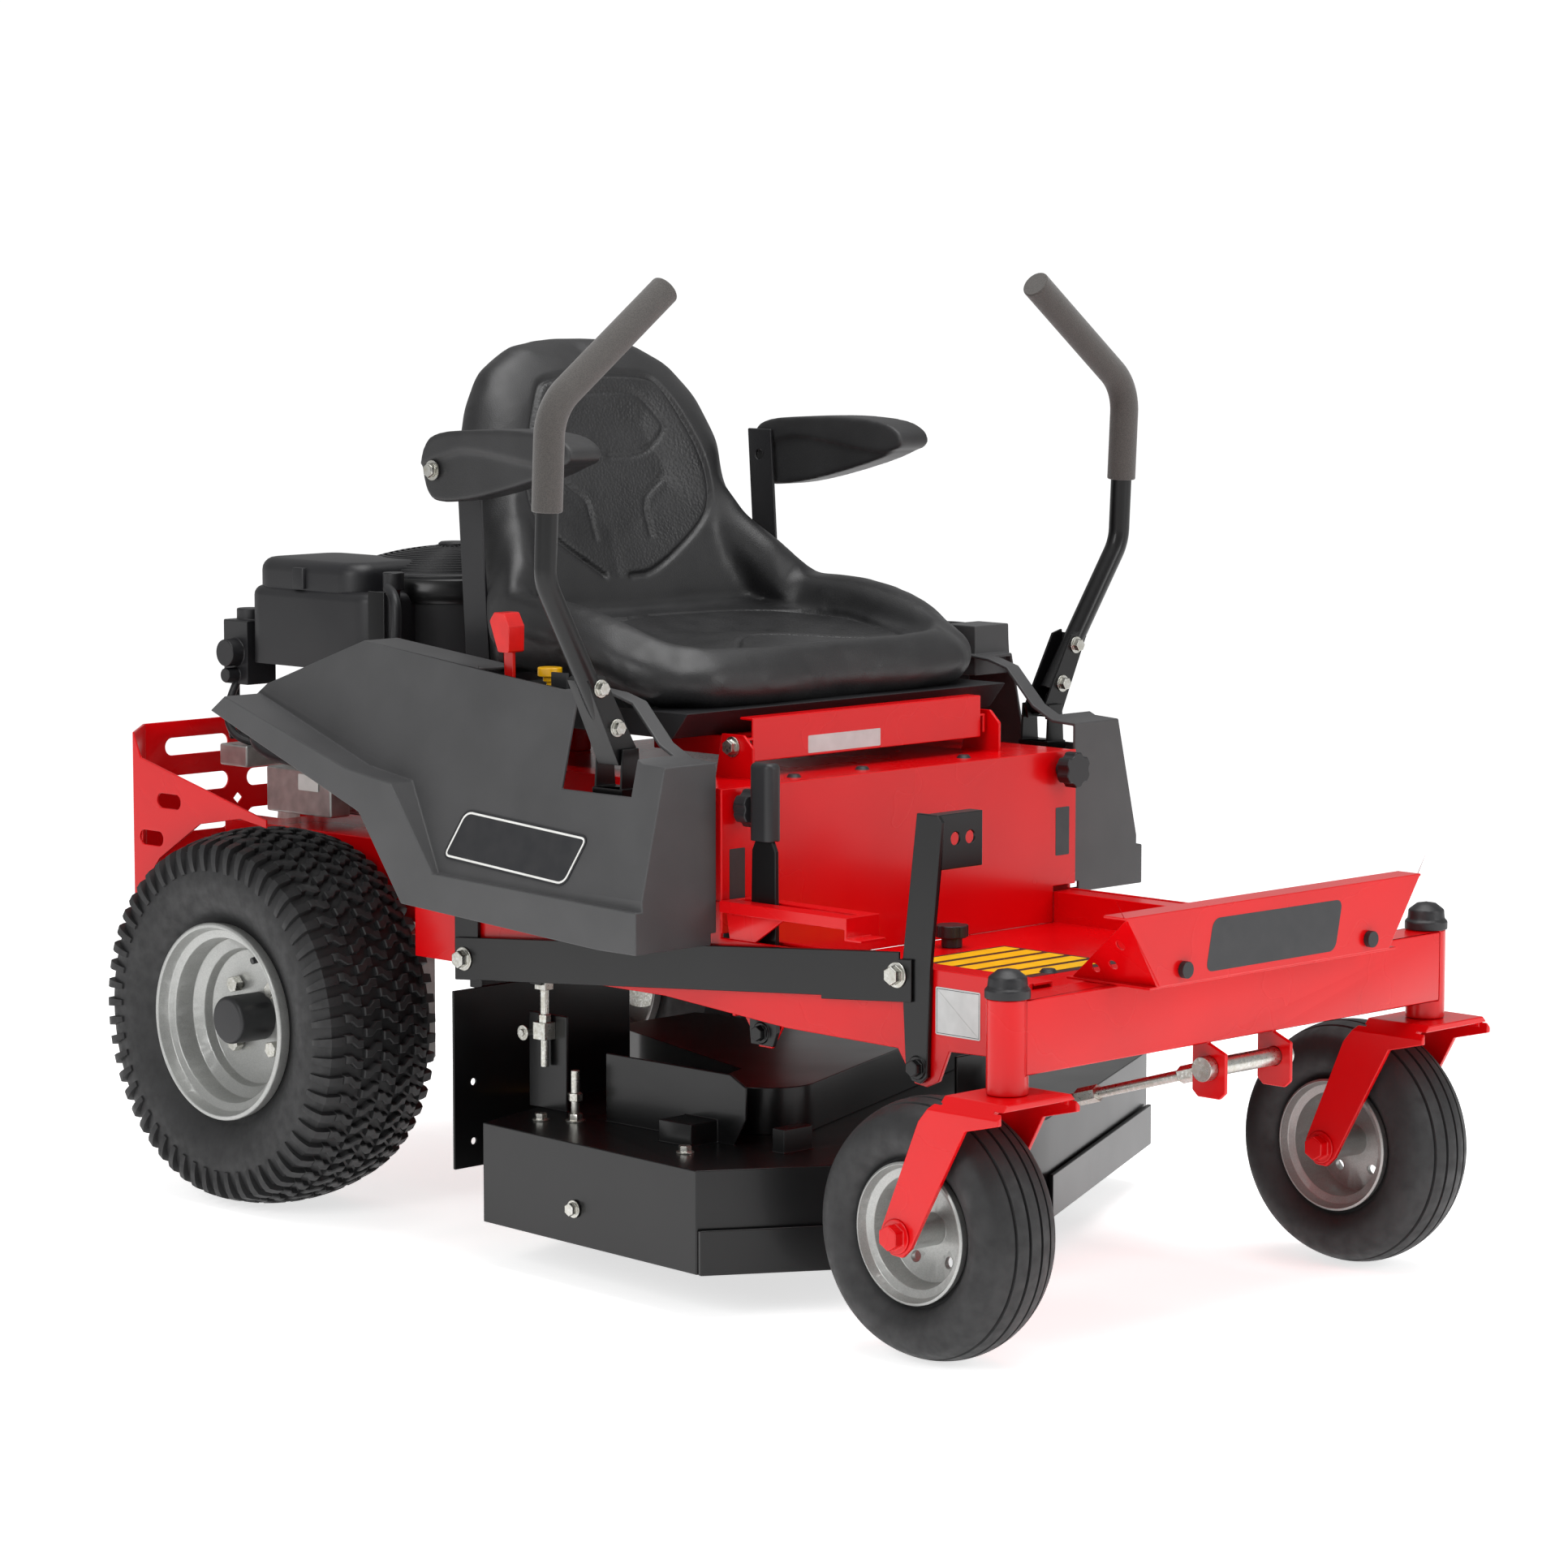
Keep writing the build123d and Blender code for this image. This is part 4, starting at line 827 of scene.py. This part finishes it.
def shoulderLug(t, centre, pitch, side):
    # a block that wraps over the shoulder and fades out down the sidewall, bent along the wall's line
    tread = t["half"] - 8
    shoulder = t["radius"] - t["crown"] - t["lug"]
    waist = (t["flange"] + t["radius"] - t["crown"]) / 2
    wall = arcThrough((tread, shoulder), (t["half"] - 1, waist), (t["seat"], t["flange"]), 24)
    line = [(tread - 14, shoulder + 3.4), (tread - 5, shoulder + 1.6)] + wall[:8]
    lug = bmesh.new()
    cube = bmesh.ops.create_cube(lug, size=1)["verts"]
    edges = [e for e in lug.edges if abs(e.verts[0].co.x - e.verts[1].co.x) > 0.5]
    bmesh.ops.subdivide_edges(lug, edges=edges, cuts=len(line) - 2, use_grid_fill=True)
    steps = len(line) - 1
    for vert in lug.verts:
        k = round((vert.co.x + 0.5) * steps)
        here = Vector(line[k])
        run = (Vector(line[min(k + 1, steps)]) - Vector(line[max(k - 1, 0)])).normalized()
        out = Vector((-run.y, run.x))
        out = out if out.dot(here - Vector((0, waist))) > 0 else -out
        fade = 1 - 0.75 * (k / steps) ** 2
        lift = t["lug"] * fade if vert.co.z > 0 else -1.2
        spread = (13.5 - 4 * k / steps) * (0.86 if vert.co.z > 0 else 1)
        across, radius = here + out * lift
        along = vert.co.y * spread + 4 * k / steps + (pitch / 2 if side > 0 else 0)
        vert.co = wheelPoint(centre, side * across, radius, along / t["radius"])
    return lug


def makeTyre(name, t, node, body, centre):
    bm = bmesh.new()
    base = t.get("lug", 0)
    outer, inner = tyreProfile(t, base)
    if "grooves" in t:
        outer = cutGrooves(outer, t)
    profile = [wheelPoint(centre, x, r) for x, r in outer + inner]
    addLathe(bm, profile, centre, (1, 0, 0), 120, closed=True)
    if "lug" in t:
        addTurfLugs(bm, t, centre)
    bmesh.ops.recalc_face_normals(bm, faces=bm.faces)
    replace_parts(newPiece(name, bm, "tyre_rubber", body, 40), node)


def cutGrooves(outer, t):
    kept = [p for p in outer
            if not any(abs(p[0] - g) < 3.2 and p[1] > t["radius"] - 16 for g in t["grooves"])]
    bend = ((t["half"] - 8) ** 2 + t["crown"] ** 2) / (2 * t["crown"])
    for g in t["grooves"]:
        for offset, drop in ((-1.9, 0), (-1.3, t["grooveDepth"]), (1.3, t["grooveDepth"]), (1.9, 0)):
            x = g + offset
            level = t["radius"] - (bend - math.sqrt(bend ** 2 - x ** 2)) - drop
            kept.append((x, level))
    floor = t["radius"] - t["crown"] - 3.5
    crownPart = sorted([p for p in kept if p[1] > floor and abs(p[0]) < t["half"] - 7.9])
    rest = [p for p in kept if p not in crownPart]
    left = [p for p in rest if p[0] < 0]
    right = [p for p in rest if p[0] > 0]
    return left + crownPart + right


def middleOf(node):
    low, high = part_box(node)
    return (low + high) / 2


for side, name in ((-1, "right"), (1, "left")):
    makeTyre("rear_tyre_" + name + "_tread", rearTyre, "rear_tyre_" + name, "rear_wheel_" + name,
             middleOf("rear_tyre_" + name))
    makeTyre("caster_tyre_" + name + "_tread", casterTyre, "caster_tyre_" + name, "caster_wheel_" + name,
             middleOf("caster_tyre_" + name))
print("tyres ready")


def smallSolid(limit):
    return lambda low, high: max(high - low) < limit


def outwardCap(low, high):
    size = high - low
    return max(size) > 50 and min(abs(low.x), abs(high.x)) > 310  # the cap over the hub


def isAxle(low, high):  # flat and long across, unlike the fork
    return (high - low).z < 60 and (high - low).x > 100


easing = [
    # node, finish, eased width in mm, segments, second finish for some solids
    ("main_frame", "red_paint", 1.2, 2, None),
    ("front_beam", "red_paint", 1.6, 3, None),
    ("floor_pan", "red_paint", 1.0, 2, None),
    ("front_step_plate", "red_paint", 0.9, 2, None),
    ("seat_tower", "red_paint", 1.2, 2, None),
    ("rear_guard", "red_paint", 0.9, 2, None),
    ("quadrant_bracket", "red_paint", 0.9, 2, None),
    ("seat_base", "red_paint", 1.2, 2, None),
    ("seat_pan", "black_plastic", 1.5, 2, None),
    ("caster_caps", "black_plastic", 1.2, 3, None),
    ("rear_baffle", "black_paint", 0.9, 2, None),
    ("engine_block", "cast_aluminium", 3.0, 3, None),
    ("muffler", "aluminised_steel", 0.8, 2, None),
    ("carburettor", "black_plastic", 1.6, 2, None),
    ("transaxles", "cast_aluminium", 3.0, 3, None),
    ("battery", "black_plastic", 2.0, 2, None),
    ("fuel_tank", "black_plastic", 4.0, 3, None),
    ("frame_fasteners", "zinc_steel", 0.5, 1, ("black_plastic", lambda low, high: high.y < -700)),
    ("crank_pulleys", "zinc_steel", 0.6, 1, None),
    ("deck_shell", "black_paint", 1.4, 2, None),
    ("belt_cover", "black_paint", 1.2, 2, None),
    ("deck_fasteners", "zinc_steel", 0.5, 1, None),
    ("lift_pedal", "black_paint", 1.0, 2, None),
    ("link_bar", "black_paint", 1.0, 2, ("zinc_steel", smallSolid(45))),
    ("lift_arm", "black_paint", 0.8, 2, None),
    ("height_lever", "black_paint", 1.0, 2, ("black_plastic", lambda low, high: high.z > 560)),
    ("front_link_rod", "zinc_steel", 0.6, 2, None),
    ("throttle_lever", "red_plastic", 0.9, 2, None),
    ("pto_knob", "yellow_plastic", 1.0, 2, None),
    ("ignition_key", "black_plastic", 0.7, 2, None),
]
for node, slotName, width, segments, second in easing:
    easedCopy(node, slotName, width, segments, second)
for name in ("right", "left"):
    easedCopy("rear_rim_" + name, "silver_paint", 1.2, 2)
    easedCopy("caster_rim_" + name, "silver_paint", 0.8, 2)
    easedCopy("rear_hub_" + name, "zinc_steel", 0.8, 2, ("black_plastic", outwardCap))
    easedCopy("caster_fork_" + name, "red_paint", 1.4, 3, ("zinc_steel", isAxle))
    easedCopy("control_arm_" + name, "black_paint", 0.8, 2)
    easedCopy("drive_lever_" + name, "black_paint", 0.6, 2, ("zinc_steel", smallSolid(30)))
    easedCopy("lever_grip_" + name, "grey_foam", 2.0, 3)
    easedCopy("mower_blade_" + name, "black_paint", 0.5, 1)
    easedCopy("tracking_knob_" + name, "black_plastic", 1.6, 3)
    easedCopy("fender_" + name, "grey_plastic", 1.6, 3)
print("frame parts eased")


def roundedBox(bm, low, high, corner, edge, segments=5):
    # the only box in its bmesh: uprights rounded by corner, then the top rim by edge
    cube = bmesh.ops.create_cube(bm, size=1)["verts"]
    bmesh.ops.scale(bm, verts=cube, vec=Vector([b - a for a, b in zip(low, high)]) * mm)
    bmesh.ops.translate(bm, verts=cube, vec=at(*[(a + b) / 2 for a, b in zip(low, high)]))
    uprights = [e for e in bm.edges if abs(e.verts[0].co.z - e.verts[1].co.z) > 0.001]
    bevelEdges(bm, uprights, corner, segments + 2)
    top = high[2] * mm
    bevelEdges(bm, [e for e in bm.edges if all(abs(v.co.z - top) < 1e-5 for v in e.verts)], edge, segments)


filterCover = {  # each box: its low and high corners, the rounding of its uprights and of its top rim
    "body": ((-200, 512, 640), (-42, 752, 736), 30, 12),
    "lid": ((-194, 548, 730), (-56, 746, 771), 34, 16),
    "latch": ((-199, 640, 736), (-180, 662, 762), 3, 2, 2),
}


def makeFilterCover():
    for part, sizes in filterCover.items():
        bm = bmesh.new()
        roundedBox(bm, *sizes)
        piece = newPiece("air_filter_" + part, bm, "black_plastic", "chassis", 40)
        if part == "body":
            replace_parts(piece, "air_filter_cover")


dome = {"x": 0, "y": 585, "ringLow": 722, "ringHigh": 752, "ring": 149, "screen": 139, "ridges": 17,
        "rise": 30, "ribs": 24, "ribSkew": 0.35, "ribRadius": 1.7}


def makeBlower():
    d = dome
    easedCopy("blower_housing", "black_plastic", 3.0, 3, keep=lambda low, high: low.z < 610 and high.z < 760)
    centre = at(d["x"], d["y"], 0)

    def place(radius, height):
        return centre + at(radius, 0, height)

    bm = bmesh.new()
    band = [(d["ring"] - 10, d["ringLow"]), (d["ring"] + 3, d["ringLow"]), (d["ring"] + 5, d["ringLow"] + 5),
            (d["ring"] + 3, d["ringHigh"] - 3), (d["ring"], d["ringHigh"]), (d["screen"], d["ringHigh"] + 2),
            (d["screen"] - 2, d["ringLow"] + 6)]
    addLathe(bm, [place(*p) for p in band], centre, (0, 0, 1), 96, closed=True)
    newPiece("blower_ring", bm, "black_plastic", "chassis", 40, looks["black_paint"])
    bm = bmesh.new()
    step = (d["screen"] - 22) / d["ridges"]
    profile = [(d["screen"], d["ringHigh"] - 6)]
    for ridge in range(d["ridges"]):
        radius = d["screen"] - ridge * step
        height = d["ringHigh"] + d["rise"] * math.sin(math.pi / 2 * (1 - radius / d["screen"]) ** 0.8)
        profile += [(radius, height - 3), (radius - 0.4, height + 1.4), (radius - step * 0.45, height + 1.8),
                    (radius - step * 0.5, height - 3)]
    top = d["ringHigh"] + d["rise"] + 2
    profile += [(20, top - 4), (20, top + 2), (17, top + 4), (0, top + 5)]
    addLathe(bm, [place(*p) for p in profile], centre, (0, 0, 1), 96)
    newPiece("blower_screen", bm, "black_plastic", "chassis", 30)
    bm = bmesh.new()
    for rib in range(d["ribs"]):
        angle = math.tau * rib / d["ribs"]
        way = Vector((math.cos(angle), math.sin(angle), 0))
        skew = Vector((math.cos(angle + d["ribSkew"]), math.sin(angle + d["ribSkew"]), 0))
        addRod(bm, centre + way * 0.019 + at(0, 0, top - 1),
               centre + skew * (d["screen"] - 3) * mm + at(0, 0, d["ringHigh"] + 2), d["ribRadius"], 8)
    newPiece("blower_ribs", bm, "black_plastic", "chassis", 40)


engineBracket = ((-214, 470, 560), (-210, 500, 742), 1.2, 1, 2)
hoses = {  # outer radius, then the line it follows
    "dipstick_tube": (6.5, [(-206, 470, 560), (-206, 462, 640), (-206, 456, 700), (-202, 462, 738),
                            (-190, 490, 744)]),
    "breather_hose": (7, [(-198, 560, 590), (-214, 560, 620), (-214, 552, 652), (-206, 530, 668),
                          (-196, 520, 668)]),
    "fuel_hose_a": (5, [(-190, 776, 620), (-204, 782, 590), (-204, 784, 560), (-196, 770, 540),
                        (-180, 752, 536)]),
    "fuel_hose_b": (4.5, [(-170, 795, 640), (-176, 806, 600), (-186, 804, 560), (-190, 790, 542)]),
    "charge_pipe": (7, [(-190, 745, 548), (-214, 722, 545), (-216, 690, 530), (-210, 640, 524),
                        (-196, 610, 520)]),
}


def makeEngineTrim():
    bm = bmesh.new()
    roundedBox(bm, *engineBracket)
    newPiece("engine_bracket", bm, "black_paint", "chassis", 40)
    for name, (radius, route) in hoses.items():
        hose(name, route, radius)


makeFilterCover()
makeBlower()
makeEngineTrim()
print("engine ready")


def addPlate(name, body, corners, fill, outline, radius, margin, line, lift):
    # a thin film or badge on a flat face: corners run round it, lift is its thickness
    bm = bmesh.new()
    bm.faces.new([bm.verts.new(c) for c in corners])
    bm.normal_update()
    bmesh.ops.bevel(bm, geom=list(bm.verts), offset=radius * mm, segments=5, profile=0.5, affect="VERTICES",
                    offset_type="OFFSET", clamp_overlap=True, material=-1)
    face = list(bm.faces)[0]
    bm.normal_update()
    grown = bmesh.ops.extrude_face_region(bm, geom=[face])["geom"]
    moved = [v for v in grown if isinstance(v, bmesh.types.BMVert)]
    bmesh.ops.translate(bm, verts=moved, vec=face.normal * lift * mm)
    top = [f for f in grown if isinstance(f, bmesh.types.BMFace)][0]
    if outline:
        bmesh.ops.inset_region(bm, faces=[top], thickness=margin * mm, use_even_offset=True)
        ring = bmesh.ops.inset_region(bm, faces=[top], thickness=line * mm, use_even_offset=True)["faces"]
        for part in ring:
            part.material_index = 1
    bmesh.ops.recalc_face_normals(bm, faces=bm.faces)
    piece = newPiece(name, bm, "black_plastic", body, 30, film[fill])
    if outline:
        piece.data.materials.append(film[outline])


fenderBadge = {"corners": [(122, 526), (-87, 513), (-60, 455), (149, 469)], "crease": 452, "face": 409,
               "lean": 0.235 / 0.972}  # the panel leans in above its crease
trackingLabel = [(257, 441), (281, 441), (281, 498), (257, 498)]
flatPlates = [
    # name, body, the axis it faces and where it lies, corners in the other two axes, film, outline,
    # then its corner radius, margin, line width and thickness
    ("step_badge", "chassis", "y", -738.2, [(-119, 403), (97, 403), (109, 458), (-107, 459)],
     "dark", "white", 10, 1.6, 2.2, 0.8),
    ("seat_base_label", "seat", "y", -133.2, [(-100, 586), (18, 586), (18, 606), (-100, 606)],
     "silver", None, 1.5, 0, 0, 0.4),
    ("rating_label", "chassis", "x", -290.2, [(-511, 382), (-575, 382), (-575, 331), (-511, 331)],
     "silver", "dark", 2, 1.5, 0.7, 0.4),
    ("foot_mat_film", "chassis", "z", 362.2, [(-105, -455), (75, -455), (75, -275), (-105, -275)],
     "dark", None, 3, 0, 0, 0.4),
    *[("foot_mat_bar_" + str(bar), "chassis", "z", 362.7,
       [(-98, y), (68, y), (68, y + 24), (-98, y + 24)], "yellow", None, 1.5, 0, 0, 0.3)
      for bar, y in enumerate(range(-442, -290, 34))],
    ("engine_label", "chassis", "x", -201, [(650, 508), (612, 508), (612, 488), (650, 488)],
     "white", None, 1.5, 0, 0, 0.4),
    ("deck_label", "deck", "z", 165.3, [(-136, 240), (-228, 148), (-250, 170), (-158, 262)],
     "yellow", None, 2, 0, 0, 0.4),
]


def onFender(side, y, z):
    inward = max(0, z - fenderBadge["crease"]) * fenderBadge["lean"]
    return at(side * (fenderBadge["face"] - inward + 0.2), y, z)


def makePlates():
    for side, name in ((-1, "right"), (1, "left")):
        corners = [onFender(side, y, z) for y, z in fenderBadge["corners"]][::-side]
        addPlate("fender_badge_" + name, "chassis", corners, "dark", "white", 12, 2.5, 2.4, 0.8)
        corners = [at(side * x, -190.2, z) for x, z in trackingLabel[::side]]
        addPlate("tracking_label_" + name, "chassis", corners, "dark", None, 1.5, 0, 0, 0.4)
    for name, body, axis, level, corners, *finish in flatPlates:
        spots = {"x": [at(level, *c) for c in corners], "y": [at(a, level, b) for a, b in corners],
                 "z": [at(*c, level) for c in corners]}
        addPlate(name, body, spots[axis], *finish)


makePlates()
print("plates ready")


plugs = [  # foot, height, foot radius, top radius
    ((-150, -160, 565), 3.5, 8.5, 6), ((130, -160, 565), 3.5, 8.5, 6), ((-40, -160, 565), 3.5, 8.5, 6),
    ((-214, -602, 399), 3.5, 10, 7),
]
valve = {"across": 34, "out": 92, "angle": 0.5, "long": 26, "lean": 0.06, "foot": 5, "tip": 4}


def makeTrim():
    bm = bmesh.new()
    for foot, height, wide, narrow in plugs:
        addRod(bm, at(*foot), at(*foot) + at(0, 0, height), wide, 28, narrow)
    newPiece("tower_plugs", bm, "black_plastic", "chassis", 40)
    v = valve
    for side, name in ((-1, "right"), (1, "left")):
        centre = middleOf("rear_rim_" + name)
        foot = wheelPoint(centre, side * v["across"], v["out"], v["angle"])
        tip = foot + at(side * v["long"], 0, 0) + (centre - foot) * v["lean"]
        bm = bmesh.new()
        addRod(bm, foot, tip, v["foot"], 20, v["tip"])
        newPiece("valve_" + name, bm, "black_plastic", "rear_wheel_" + name, 40)


makeTrim()
print("trim ready")
